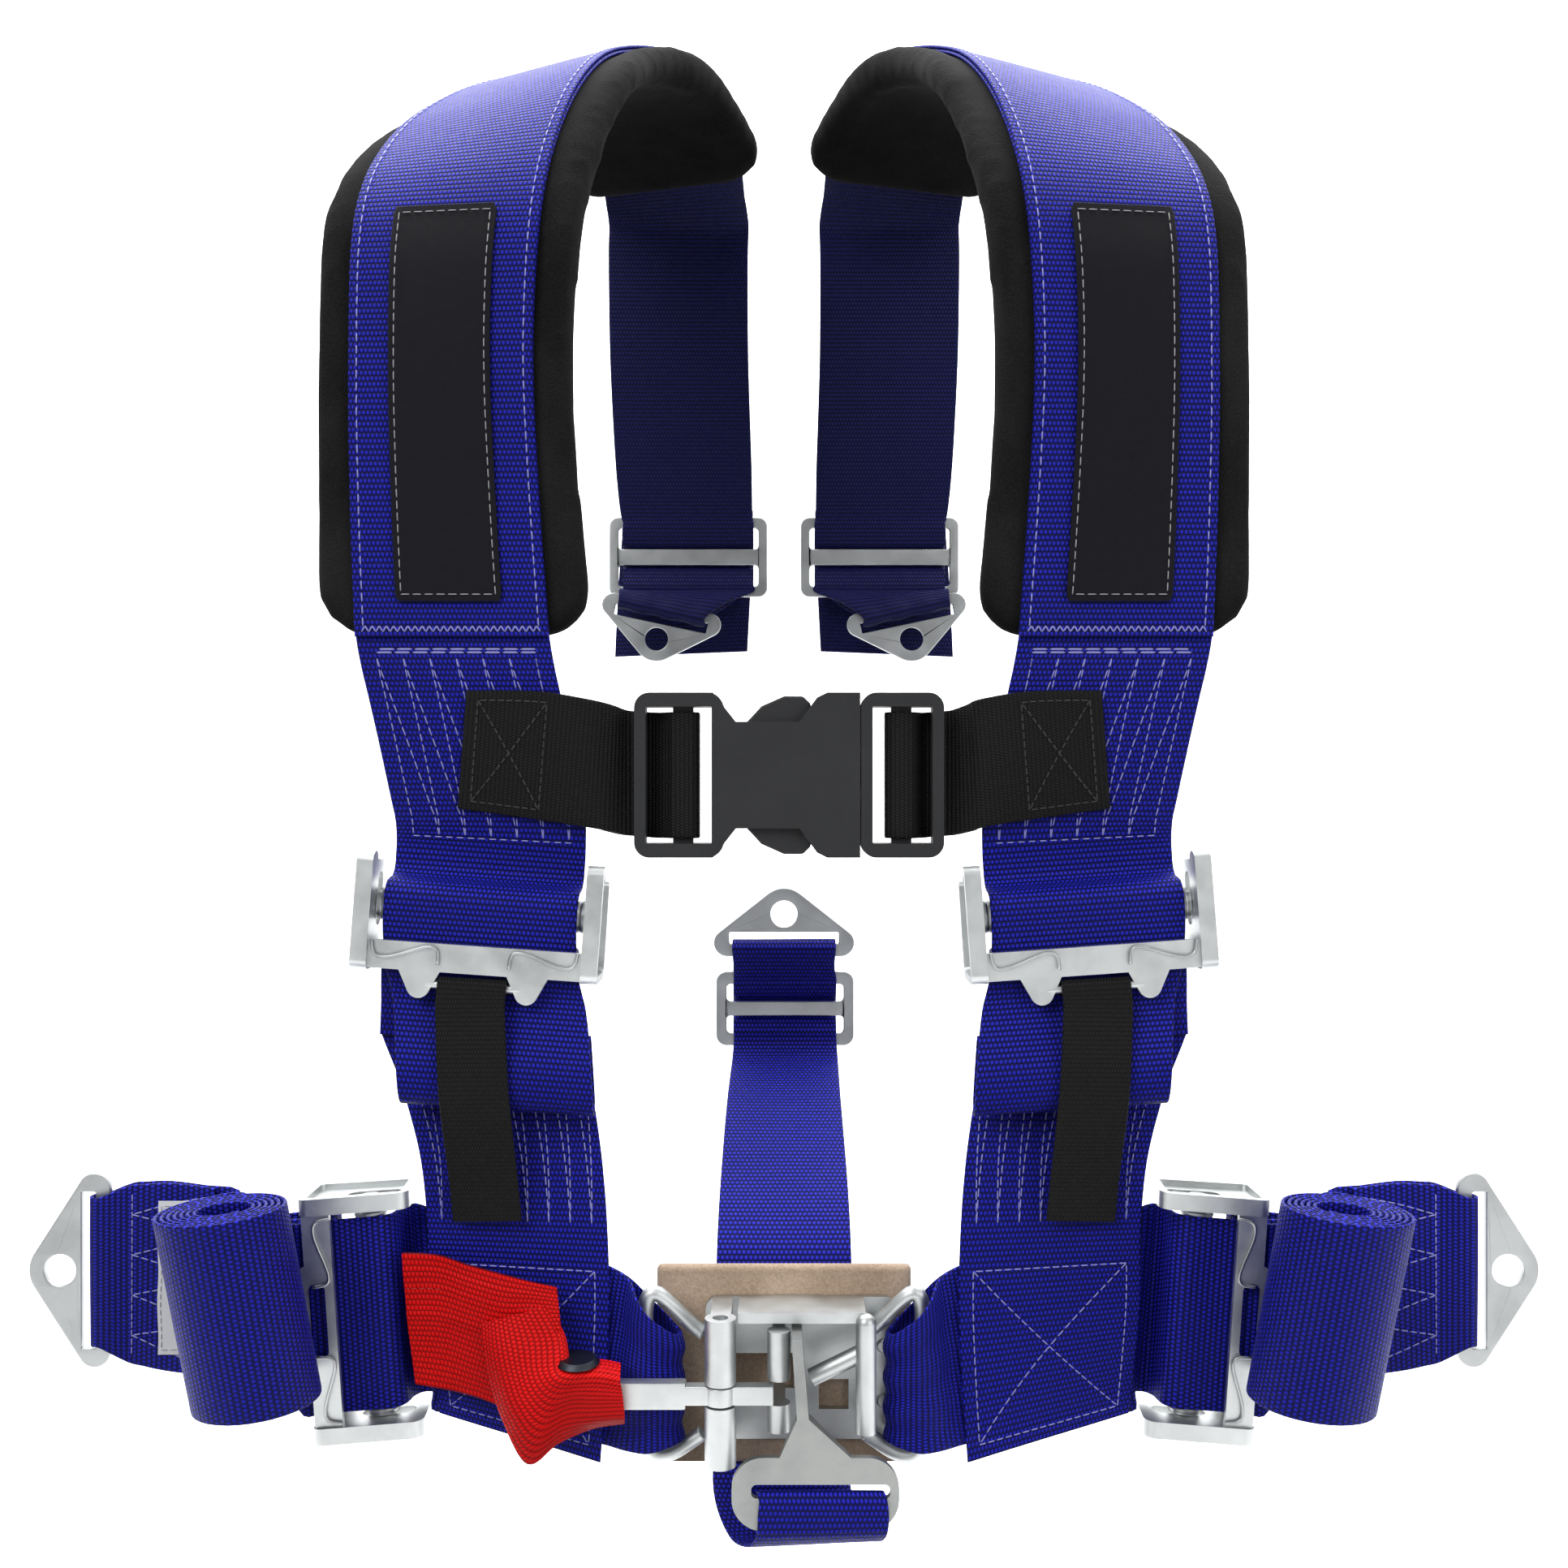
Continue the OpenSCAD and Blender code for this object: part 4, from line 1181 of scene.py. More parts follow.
@dataclass
class ShoulderPad:
    """A velour foam pad with its sewn webbing cover and bare patch, for both sides."""

    shop: Workshop
    bead: float = 3.2
    corner: float = 20.0
    voxel: float = 3.6
    swell: float = 3.0
    frames: int = 20
    pressure: float = 4.0
    edge_in: float = 3.6
    end_in: float = 4.0
    patch_rings: Tuple[int, int] = (1, 9)
    patch_rise: float = 0.75

    def __post_init__(self) -> None:
        """Lays out the pad's own route."""
        self.route = Route(smooth(smooth(PAD, 3), 4))
        self.cover = self.route.layered(-P.cover_lift)

    def outline(self, along: float) -> float:
        """Share of the pad's width left at a length along, for its rounded corners."""
        reach = min(along, self.route.length - along)
        if reach >= self.corner:
            return 1.0
        cut = self.corner - math.sqrt(max(self.corner ** 2 - (self.corner - reach) ** 2, 0.0))
        return 1.0 - cut / (P.pad / 2)

    def section(self) -> List[Spot]:
        """Draws the pad's section: flat under the cover, with a round bead at each edge."""
        h, e = P.pad_t / 2, P.pad / 2
        web = P.web / 2
        half = [(web * 0.5, -h), (web, -h), (web + 3, -h), (e - 9, -h - 0.2), (e - 5, -h + 0.3)]
        half += [(e - 6 + 6 * math.cos(math.radians(a)), 6.4 * math.sin(math.radians(a)))
                 for a in (-60, -30, 0, 30, 60)]
        half += [(e - 5, h - 0.4), (e - 10, h), (web, h), (web * 0.5, h)]
        return [(0, -h)] + half + [(0, h)] + [(-u, w) for u, w in reversed(half)]

    def foam(self) -> bpy.types.Object:
        """Builds the foam body as a closed, plump form."""
        ring = self.section()
        bm = bmesh.new()
        rows = []
        route = self.route
        for i in range(len(route.points)):
            share = self.outline(float(route.reach[i]))
            end = min(route.reach[i], route.length - route.reach[i])
            thin = min(1.0, 0.72 + 0.28 * end / 6.0)
            rows.append([bm.verts.new((route.points[i] + route.halves[i] * u * share
                                       + route.faces[i] * w * thin) * MM) for u, w in ring])
        for a, b in zip(rows, rows[1:]):
            for j in range(len(ring)):
                k = (j + 1) % len(ring)
                bm.faces.new((a[j], a[k], b[k], b[j]))
        bm.faces.new(rows[0])
        bm.faces.new(rows[-1][::-1])
        bmesh.ops.recalc_face_normals(bm, faces=bm.faces[:])
        return new_piece("left_pad_body", mesh_from(bm, "left_pad_body", 180.0))

    def plump(self, obj: bpy.types.Object) -> bpy.types.Object:
        """Swells the foam's free edges with a short cloth simulation.

        Args:
            obj: the closed foam form.

        Returns:
            The same piece, with a smooth, uneven surface.
        """
        modify(obj, "REMESH", "even skin", mode="VOXEL", voxel_size=self.voxel * MM)
        apply_all(obj)
        start = np.array([v.co[:] for v in obj.data.vertices]) / MM
        cloth = obj.modifiers.new("breath", "CLOTH")
        cloth.settings.use_pressure = True
        cloth.settings.uniform_pressure_force = self.pressure
        cloth.settings.effector_weights.gravity = 0.0
        cloth.settings.quality = 4
        cloth.point_cache.frame_start, cloth.point_cache.frame_end = 1, self.frames
        scene = bpy.context.scene
        for step in range(1, self.frames + 1):
            scene.frame_set(step)
        only(obj)
        bpy.ops.object.modifier_apply(modifier=cloth.name)
        scene.frame_set(1)
        end = np.array([v.co[:] for v in obj.data.vertices]) / MM
        centre = self.route.points
        apart = ((start[:, None, :] - centre[None, ::3, :]) ** 2).sum(axis=2)
        which = np.argmin(apart, axis=1) * 3
        halves = self.route.halves[which]
        across = ((start - centre[which]) * halves).sum(axis=1) / (halves ** 2).sum(axis=1)
        depth = ((start - centre[which]) * self.route.faces[which]).sum(axis=1)
        free = np.clip((np.abs(across) - P.web / 2 - 1.5) / 5.0, 0.0, 1.0)
        shift = end - start
        size = np.linalg.norm(shift, axis=1)
        capped = np.minimum(size, self.swell) / np.maximum(size, TINY)
        shift *= np.where(size > 0, capped, 0)[:, None]
        moved = start + shift * (0.55 * free)[:, None]
        along = self.route.reach[which]
        puff = 0.5 * np.sin(along / 31.0 + across / 17.0)
        puff += 0.35 * np.sin(along / 13.0 - across / 9.0)
        top = self.route.faces[which] * np.sign(depth)[:, None]
        moved += top * (puff * 0.6 * free)[:, None]
        for vert, place in zip(obj.data.vertices, moved):
            vert.co = Vector(place * MM)
        obj.data.update()
        modify(obj, "SMOOTH", "even pile", factor=0.5, iterations=3)
        modify(obj, "SUBSURF", "fine skin", levels=1, render_levels=1)
        apply_all(obj)
        shade_smooth(obj)
        return obj

    def build(self) -> None:
        """Makes both pads with their covers, patches and stitching."""
        shop, finish = self.shop, self.shop.finish
        left = self.plump(self.foam())
        for piece in shop.pair(left, "pad_body", finish.velour, "root", "pad_foam", "pad_velour"):
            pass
        cover = band("left_cover", self.cover, P.web, P.web_t, 18,
                     lambda u, v: -0.25 * (1 - u * u) * math.sin(v / 23.0))
        for piece in shop.pair(cover, "cover", finish.blue, "root", "pad_cover", "blue_webbing"):
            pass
        lift = P.cover_lift + P.web_t / 2 + self.patch_rise + P.patch_t / 2
        first, last = self.patch_rings
        base = Route(smooth(PAD, 3)).layered(-lift).stations()[first:last + 1]
        route = Route(smooth(base, 5))
        patch = band("left_patch", route, P.patch, P.patch_t, 10,
                     narrow=lambda v: 1.0 - max(0.0, 2.5 - min(v, route.length - v)) * 0.02)
        for piece in shop.pair(patch, "patch", finish.patch, "root", "pad_patch",
                               "black_webbing"):
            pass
        self.sew(route)

    def sew(self, patch: Route) -> None:
        """Stitches the covers down and the patches round.

        Args:
            patch: the patch's route.
        """
        shop = self.shop
        edge = Seams(0.34)
        full = self.cover.length
        for u in (-P.web / 2 + self.edge_in, P.web / 2 - self.edge_in):
            edge.run(self.cover, [(u, self.end_in), (u, full - self.end_in)], -P.thread_lift,
                     3.4, 1.4)
        amp, pitch = 1.2, 1.4
        for v in (3.0, full - self.end_in):
            path = [(-P.web / 2 + 3 + k * pitch, v + (amp if k % 2 else -amp)) for k in range(51)]
            edge.run(self.cover, path, -P.thread_lift, 3.0, 0.2)
        shop.pair(edge.build("left_cover_stitching"), "cover_stitching",
                  shop.finish.white_thread, "root")
        rim = Seams(0.26)
        rim.run(patch, frame_path(P.patch / 2 - 2.4, 2.6, patch.length - 2.6),
                -P.patch_t / 2 - 0.16, 3.2, 1.3)
        shop.pair(rim.build("left_patch_stitching"), "patch_stitching", shop.finish.grey_thread,
                  "root")


@dataclass
class ShoulderStraps:
    """The shoulder straps with their lower straps, chest webbing and pull tabs."""

    shop: Workshop
    clip: ClipPlan = field(default_factory=ClipPlan)
    # How far back, in millimetres, the painted shade on the shoulder strap starts.
    painted_shade_from: float = 200.0
    loose_share: float = 0.95

    def __post_init__(self) -> None:
        """Lays out the routes."""
        self.shoulder = Route(smooth(shoulder_route(), 3))
        self.lower = Route(smooth(lower_route(), 3))
        self.pull = Route(smooth(pull_route(), 3))

    def pleats(self, u: float, v: float) -> float:
        """Lifts the shoulder strap in soft pleats where it is gathered.

        Args:
            u: share across, from -1 to 1.
            v: millimetres along.

        Returns:
            The lift in millimetres.
        """
        tight = max(0.0, self.loose_share - self.shoulder.share(v))
        return 1.5 * tight * math.sin(3.0 * math.pi * u) + 0.12 * math.sin(v / 19.0 + 2 * u)

    def build(self) -> None:
        """Makes the straps and their seams."""
        shop, finish = self.shop, self.shop.finish
        strap = band("left_shoulder_webbing", self.shoulder, P.web, P.web_t, 22, self.pleats)
        for piece in shop.pair(strap, "shoulder_webbing", finish.blue, "root", "shoulder_strap",
                               "blue_webbing"):
            # Faces further back than the cut-off take the darker blue copy: painted shade on the
            # strap's rear run.
            piece.data.materials.append(finish.painted_shade_blue)
            for face in piece.data.polygons:
                face.material_index = int(face.center.y > self.painted_shade_from * MM)
        lower = band("left_lower_webbing", self.lower, P.web, P.web_t, 18,
                     lambda u, v: 0.12 * math.sin(v / 15.0 + 3 * u))
        for piece in shop.pair(lower, "lower_webbing", finish.blue, "root", "lower_strap",
                               "blue_webbing"):
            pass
        pull = band("left_pull_loop", self.pull, P.pull, P.web_t, 10,
                    lambda u, v: 0.25 * math.sin(v / 11.0) * u)
        for piece in shop.pair(pull, "pull_loop", finish.black, "{side}_pull_tab_body",
                               "pull_tab", "black_webbing"):
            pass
        for side in Side:
            route = Route(smooth(self.clip.chest_route(side), 3))
            name = side.node("chest_band")
            obj = band(name, route, P.narrow, P.web_t, 14)
            if side is Side.RIGHT:
                right = mirrored(obj, "right_chest_band_turned")
                bpy.data.objects.remove(obj)
                right.name = name
                obj = right
            shop.put(obj, finish.black, "root", [side.node("chest_webbing")], "black_webbing")
        self.sew()

    def sew(self) -> None:
        """Stitches the zigzags, the rows and the chest webbing's boxes."""
        shop = self.shop
        strap = self.shoulder
        face = -P.thread_lift
        low = strap.nearest(-121.0, -24.5, 90.0, 260.0)
        high = strap.nearest(-128.0, 46.0, 90.0, 330.0)
        pale = Seams(0.3)
        edge = -31.0
        lines = [edge + 10.4 * k for k in range(7)]
        for u, beside in zip(lines, lines[1:] + lines[-1:]):
            pale.run(strap, [(u, high), (u, low)], face, 3.2, 1.2)
            pale.run(strap, [(u, high), (beside, low)], face, 3.4, 1.2)
        pale.run(strap, [(edge, low), (34.0, low)], face, 2.6, 1.6)
        bold = Seams(0.5)
        for row in (2.4, 3.7):
            bold.run(strap, [(-33.0 + row, high + row), (33.0, high + row)], face, 6.0, 1.2)
        shop.pair(bold.build("left_bar_tack"), "bar_tack", shop.finish.white_thread, "root")
        lower = self.lower
        top = lower.nearest(-113.0, -120.0, 60.0) - 2.0
        foot = lower.nearest(-106.0, -176.0, 60.0)
        for k in range(8):
            u = -31.5 + 9.0 * k
            for path in ([(u, top), (u, foot)], [(u, foot), (u + 4.5, top)]):
                pale.run(lower, path, P.thread_lift, 3.4, 1.1)
        pale.run(lower, [(-34.0, top), (34.0, top)], P.thread_lift, 2.4, 1.0)
        half = 32
        box = lower.nearest(-105.0, -196.0, 60.0)
        end = lower.length - 5.0
        for path in (frame_path(half, box, end) + [(half, end)], [(half, box), (-half, end)]):
            pale.run(lower, path, P.thread_lift, 3.0, 1.0)
        shop.pair(pale.build("left_strap_stitching"), "strap_stitching",
                  shop.finish.white_thread, "root")
        dark = Seams(0.36)
        chest = Route(smooth(self.clip.chest_route(Side.LEFT), 3))
        half, near, far = 21, 5.0, 32.0
        for path in (frame_path(half, near, far) + [(half, far)], [(half, near), (-half, far)]):
            dark.run(chest, path, self.outward(chest) * (P.web_t / 2 + 0.18), 2.6, 0.8)
        shop.pair(dark.build("left_chest_stitching"), "chest_stitching",
                  shop.finish.black_thread, "root")

    @staticmethod
    def outward(route: Route) -> float:
        """Tells which sign of lift faces forward at a route's start."""
        return -1.0 if route.faces[2][1] > 0 else 1.0


@dataclass
class LapBelt:
    """The lap straps with their rolls of spare, the outer straps and the date tag."""

    shop: Workshop
    loose_share: float = 0.98
    tag_w: float = 14.0
    tag_t: float = 0.4

    def __post_init__(self) -> None:
        """Lays out the routes."""
        self.lap = Route(smooth(lap_route(), 3))
        self.end = Route(smooth(lap_end_route(), 3))

    def curl(self, u: float, v: float) -> float:
        """Ripples the lap strap where it is pinched into the link.

        Args:
            u: share across, from -1 to 1.
            v: millimetres along.

        Returns:
            The lift in millimetres.
        """
        tight = max(0.0, self.loose_share - self.lap.share(v))
        return 1.6 * tight * math.sin(3.5 * math.pi * u)

    def build(self) -> None:
        """Makes the belt on both sides."""
        shop, finish = self.shop, self.shop.finish
        lap = band("left_lap_webbing", self.lap, P.web, P.web_t, 20, self.curl)
        for piece in shop.pair(lap, "lap_webbing", finish.blue, "root", "lap_strap",
                               "blue_webbing"):
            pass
        outer = band("left_lap_end_webbing", self.end, P.web, P.web_t, 18,
                     lambda u, v: 0.15 * math.sin(v / 14.0 + 2 * u))
        for piece in shop.pair(outer, "lap_end_webbing", finish.blue, "root", "lap_end_strap",
                               "blue_webbing"):
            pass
        self.tag()
        self.sew()

    def tag(self) -> None:
        """Makes the bare date tag, a small cloth strip with stitching round its edge."""
        shop = self.shop
        low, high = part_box("date_tag")
        x = (low[0] + high[0]) / 2 / MM
        y = (low[1] + high[1]) / 2 / MM
        z0, z1 = low[2] / MM, high[2] / MM
        cuts = 16
        rows = [(x + 0.25 * math.sin(k * 0.9), y + 0.05 * math.sin(k * 1.7),
                 z0 + (z1 - z0) * k / cuts, 1, 0, 0) for k in range(cuts + 1)]
        route = Route(rows)
        obj = band("date_tag_cloth", route, self.tag_w, self.tag_t, 8)
        shop.put(obj, shop.finish.tag, "root", ["date_tag"], "tag_cloth")
        hem = Seams(0.22)
        face = 0.36 if route.faces[3][1] < 0 else -0.36
        hem.run(route, frame_path(5.6, 2, route.length - 2.0), face, 2.2, 1.0)
        shop.put(hem.build("date_tag_stitching"), shop.finish.grey_thread, "root")

    def sew(self) -> None:
        """Stitches the outer straps near their anchors."""
        shop = self.shop
        pale = Seams(0.32)
        route = self.end
        face = -1.0 if route.faces[-6][1] > 0 else 1.0
        lift = face * P.thread_lift
        half, first, last = 34, route.length - 33.0, route.length - 3.0
        pale.run(route, [(-half, first), (half, first)], lift, 3.0, 0.6)
        path = [(-half + 8.5 * k, first if k % 2 else last) for k in range(9)]
        pale.run(route, path, lift, 3.0, 0.9)
        pale.run(route, [(-half, last), (half, last)], lift, 3.0, 0.6)
        shop.pair(pale.build("left_lap_stitching"), "lap_stitching", shop.finish.white_thread,
                  "root")


@dataclass
class CrotchStrap:
    """The crotch strap with its suede buckle pad."""

    shop: Workshop
    corner: float = 0.011
    voxel: float = 0.0012
    rim_roll: float = 0.0028
    seam_in: float = 0.0042
    seam_w: float = 0.0007

    def build(self) -> None:
        """Makes the strap and the pad."""
        shop = self.shop
        route = Route(smooth(sub_route(), 3))
        obj = band("crotch_webbing", route, P.narrow, P.web_t, 16,
                   lambda u, v: 0.12 * math.sin(v / 13.0 + 2 * u))
        shop.put(obj, shop.finish.blue, "root", ["sub_strap"], "blue_webbing")
        self.pad()

    def pad(self) -> None:
        """Shapes the buckle pad from a block: rounded, soft and pressed in near its rim."""
        shop = self.shop
        low, high = (Vector(p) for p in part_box("buckle_pad"))
        size, middle = high - low, (high + low) / 2
        deselect_all()
        bpy.ops.mesh.primitive_cube_add(size=1.0, location=middle)
        obj = bpy.context.object
        obj.name = "suede_buckle_pad"
        obj.scale = size
        settle(obj)
        bm = bmesh.new()
        bm.from_mesh(obj.data)
        for edge in bm.edges:
            a, b = edge.verts
            edge.select = abs(a.co.y - b.co.y) > size.y * 0.5
        for face in bm.faces:
            face.select = False
        bm.select_flush(False)
        bm.to_mesh(obj.data)
        bm.free()
        bpy.ops.object.mode_set(mode="EDIT")
        bpy.ops.mesh.select_mode(type="EDGE")
        bpy.ops.mesh.bevel(offset=self.corner, segments=7, affect="EDGES")
        bpy.ops.object.mode_set(mode="OBJECT")
        modify(obj, "REMESH", "even skin", mode="VOXEL", voxel_size=self.voxel)
        apply_all(obj)
        half = size / 2
        for vert in obj.data.vertices:
            away = vert.co - middle
            rim = min(half.x - abs(away.x), half.z - abs(away.z))
            roll = max(0.0, 1.0 - rim / self.rim_roll)
            seam = math.exp(-((rim - self.seam_in) / self.seam_w) ** 2)
            crown = 1.0 - 0.30 * roll ** 2 - 0.16 * seam
            ripple = 0.05 * math.sin(away.x * 240) * math.sin(away.z * 190)
            vert.co.y = middle.y + away.y * (crown + (ripple if rim > 0.006 else 0.0))
        modify(obj, "SMOOTH", "soft hand", factor=0.5, iterations=2)
        apply_all(obj)
        shade_smooth(obj)
        shop.put(obj, shop.finish.suede, "root", ["buckle_pad"], "pad_leather")


@dataclass
class ReleaseTab:
    """The red release tab: a stitched panel whose strap is folded down over the lever."""

    shop: Workshop
    thick: float = 2.2
    creases: Tuple[float, ...] = (0.17, 0.25, 0.46)
    crease_w: float = 0.018

    def build(self) -> None:
        """Makes the panel, the fold that wraps the lever, and their seams."""
        shop = self.shop
        panel = [
            [(-150, -7.8, -187.5), (-148.6, -8.0, -205), (-146.8, -8.0, -222),
             (-144.6, -7.8, -238.8)],
            [(-136, -8.2, -188.2), (-134.6, -8.6, -205), (-132.8, -8.7, -223), (-131, -8.4, -241)],
            [(-123.5, -9.2, -192), (-122.6, -10.2, -208), (-121.2, -10.8, -226),
             (-119.6, -10.8, -243)],
            [(-110, -11, -195), (-109.4, -12.4, -211), (-108.6, -13.8, -229), (-108, -14.4, -245)],
            [(-98, -12.2, -197.6), (-97.4, -14.2, -210), (-96.6, -16.6, -226), (-97, -18, -241)],
            [(-88.6, -12.6, -199.4), (-87, -15.2, -210), (-85.4, -18, -222), (-84.4, -20.6, -232)]]
        fold = [
            [(-117, -14, -213), (-112, -15.4, -211.5), (-106, -15.8, -210), (-100, -15.2, -208.4),
             (-94.6, -14.4, -206.6), (-92, -13.4, -206)],
            [(-115.8, -16, -222), (-110, -19.4, -221), (-103, -19.6, -220), (-95, -18, -218.6),
             (-88, -17.4, -217.4), (-85.6, -15.6, -217)],
            [(-113.4, -17, -234), (-107, -21.4, -232), (-100.6, -21.6, -230), (-93.4, -21.6, -228),
             (-86, -22, -226.4), (-83.4, -18.6, -225.4)],
            [(-108, -18.4, -249), (-102.6, -22.8, -243), (-97, -23.6, -237.6),
             (-90.6, -24.6, -232), (-84.6, -25, -228.6), (-82.6, -17.6, -227.6)],
            [(-98.4, -20, -264.6), (-94.6, -23.6, -253), (-90.4, -25, -243), (-86, -26, -234),
             (-81.4, -26.2, -228.8), (-79.6, -16, -227.8)],
            [(-87, -21.6, -256), (-84, -24.4, -248), (-81.4, -25.4, -240), (-78.6, -26, -233.6),
             (-76, -25.6, -228.8), (-75.4, -15, -227.8)],
            [(-74, -20.6, -250.6), (-73, -24.4, -246.4), (-72, -25, -240), (-71, -25.4, -234),
             (-70, -24.6, -229.2), (-69.8, -15, -228.2)],
            [(-61.4, -20, -249), (-61, -23.6, -245.6), (-61.4, -24.2, -240), (-62, -24.4, -235.4),
             (-63, -23.6, -231.2), (-63.6, -15, -229.4)]]

        def stitched(u: float, v: float) -> float:
            """Presses the panel in along its stitch lines, and leaves it softly uneven."""
            dent = sum(math.exp(-((v - c) / self.crease_w) ** 2) for c in self.creases)
            return 0.55 * dent + 0.25 * math.sin(9 * u + 14 * v)

        front, area = draped("red_tab_panel", panel, self.thick, 10, stitched)
        wrap, more = draped("red_tab_fold", fold, self.thick, 8,
                            lambda u, v: 0.3 * math.sin(7 * u + 11 * v))
        shop.put(front, shop.finish.red, "lever_body", ["red_tab"], "red_webbing")
        shop.put(wrap, shop.finish.red, "lever_body", (), "red_webbing")
        seam = Seams(0.26)
        net = np.swapaxes(np.array(curved(panel, 10)), 0, 1)
        ahead = np.array((0.0, -1.0, 0.0))
        for share in self.creases:
            line = net[round(share * (len(net) - 1))]
            for a, b in zip(line[1:-2:2], line[2:-1:2]):
                mid, reach = (a + b) / 2 + ahead, (b - a) * 0.8
                seam.stitch(mid - reach, mid + reach, ahead)
        shop.put(seam.build("red_tab_stitching"), shop.finish.red_thread, "lever_body")


@dataclass
class Fittings:
    """All the loaded metal and plastic pieces, and the knurled slide bars."""

    shop: Workshop
    rib: float = 0.9
    ribs: int = 45
    bar_half: float = 41.2
    plain_end: float = 0.5
    groove: float = 0.94
    shoulder: float = 2.6
    tenon: float = 4.0

    def build(self) -> None:
        """Finishes every hard piece."""
        frame, finish = self.shop.frame, self.shop.finish
        for side in Side:
            for name, material, edge in (
                    ("rear_slide", finish.plate, 0.6), ("rear_anchor", finish.plate, 0.5),
                    ("lap_anchor", finish.plate, 0.5), ("shoulder_adjuster", finish.zinc, 0.7),
                    ("lap_adjuster", finish.zinc, 0.7), ("shoulder_spring", finish.bar, 0.0),
                    ("lap_spring", finish.bar, 0.0)):
                dress_metal(side.node(name), frame, material, edge)
            for kind in ("shoulder", "lap"):
                self.knurled_bar(side, kind)
        for name, material, edge in (
                ("chest_socket", finish.nylon, 0.9), ("chest_plug", finish.nylon, 0.9),
                ("chest_prong_upper", finish.nylon, 0.8), ("chest_prong_lower", finish.nylon, 0.8),
                ("latch_body", finish.zinc, 0.6), ("latch_lever", finish.zinc, 0.8),
                ("lever_pin", finish.bar, 0.4), ("left_link", finish.zinc, 0.0),
                ("right_link", finish.zinc, 0.0), ("link_rivets", finish.bar, 0.3),
                ("sub_hook", finish.hook, 0.7), ("sub_slide", finish.plate, 0.6),
                ("sub_anchor", finish.plate, 0.5), ("tab_rivet", finish.dark, 0.3)):
            dress_metal(name, frame, material, edge)

    def knurled_bar(self, side: Side, kind: str) -> None:
        """Turns a slide bar with ribs round it and two plain ends.

        Args:
            side: which half.
            kind: shoulder or lap.
        """
        at, turn = ((P.shoulder_at, P.shoulder_turn) if kind == "shoulder"
                    else (P.lap_at, P.lap_turn))
        flip = 1.0 if side is Side.LEFT else -1.0
        node = side.node(f"{kind}_bar")
        half = self.bar_half
        deselect_all()
        bpy.ops.mesh.primitive_cylinder_add(vertices=48, radius=P.bar / 2 * MM,
                                            depth=2 * half * MM, location=(0, 0, 0))
        obj = bpy.context.object
        obj.name = side.node(f"{kind}_ribbed_bar")
        bpy.ops.object.mode_set(mode="EDIT")
        for k in range(-self.ribs, self.ribs + 1):
            bpy.ops.mesh.select_all(action="SELECT")
            bpy.ops.mesh.bisect(plane_co=(0, 0, k * self.rib * MM), plane_no=(0, 0, 1))
        bpy.ops.mesh.select_all(action="DESELECT")
        bpy.ops.object.mode_set(mode="OBJECT")
        for vert in obj.data.vertices:
            ring = round(vert.co.z / MM / self.rib)
            inner = abs(vert.co.z) < (half - self.plain_end) * MM
            size = self.groove if (ring % 2 or not inner) else 1.0
            vert.co.x *= size
            vert.co.y *= size
        bm = bmesh.new()
        bm.from_mesh(obj.data)
        for sign in (-1, 1):
            end = [f for f in bm.faces if f.normal.z * sign > 0.9
                   and abs(f.calc_center_median().z) > (half - 0.1) * MM]
            bmesh.ops.inset_region(bm, faces=end, thickness=self.shoulder * MM)
            core = [f for f in end if f.is_valid]
            moved = bmesh.ops.extrude_face_region(bm, geom=core)
            verts = [g for g in moved["geom"] if isinstance(g, bmesh.types.BMVert)]
            bmesh.ops.delete(bm, geom=core, context="FACES")
            bmesh.ops.translate(bm, vec=(0, 0, sign * self.tenon * MM), verts=verts)
        bmesh.ops.rotate(bm, cent=(0, 0, 0), verts=bm.verts[:],
                         matrix=Matrix.Rotation(math.radians(90.0 + turn * flip), 3, "Y"))
        bmesh.ops.translate(bm, vec=(at[0] * flip * MM, at[1] * MM, at[2] * MM), verts=bm.verts[:])
        sharpen(bm, 35.0)
        bm.to_mesh(obj.data)
        bm.free()
        self.shop.put(obj, self.shop.finish.bar, side.node(f"{kind}_bar_body"), [node],
                      "steel_bar")


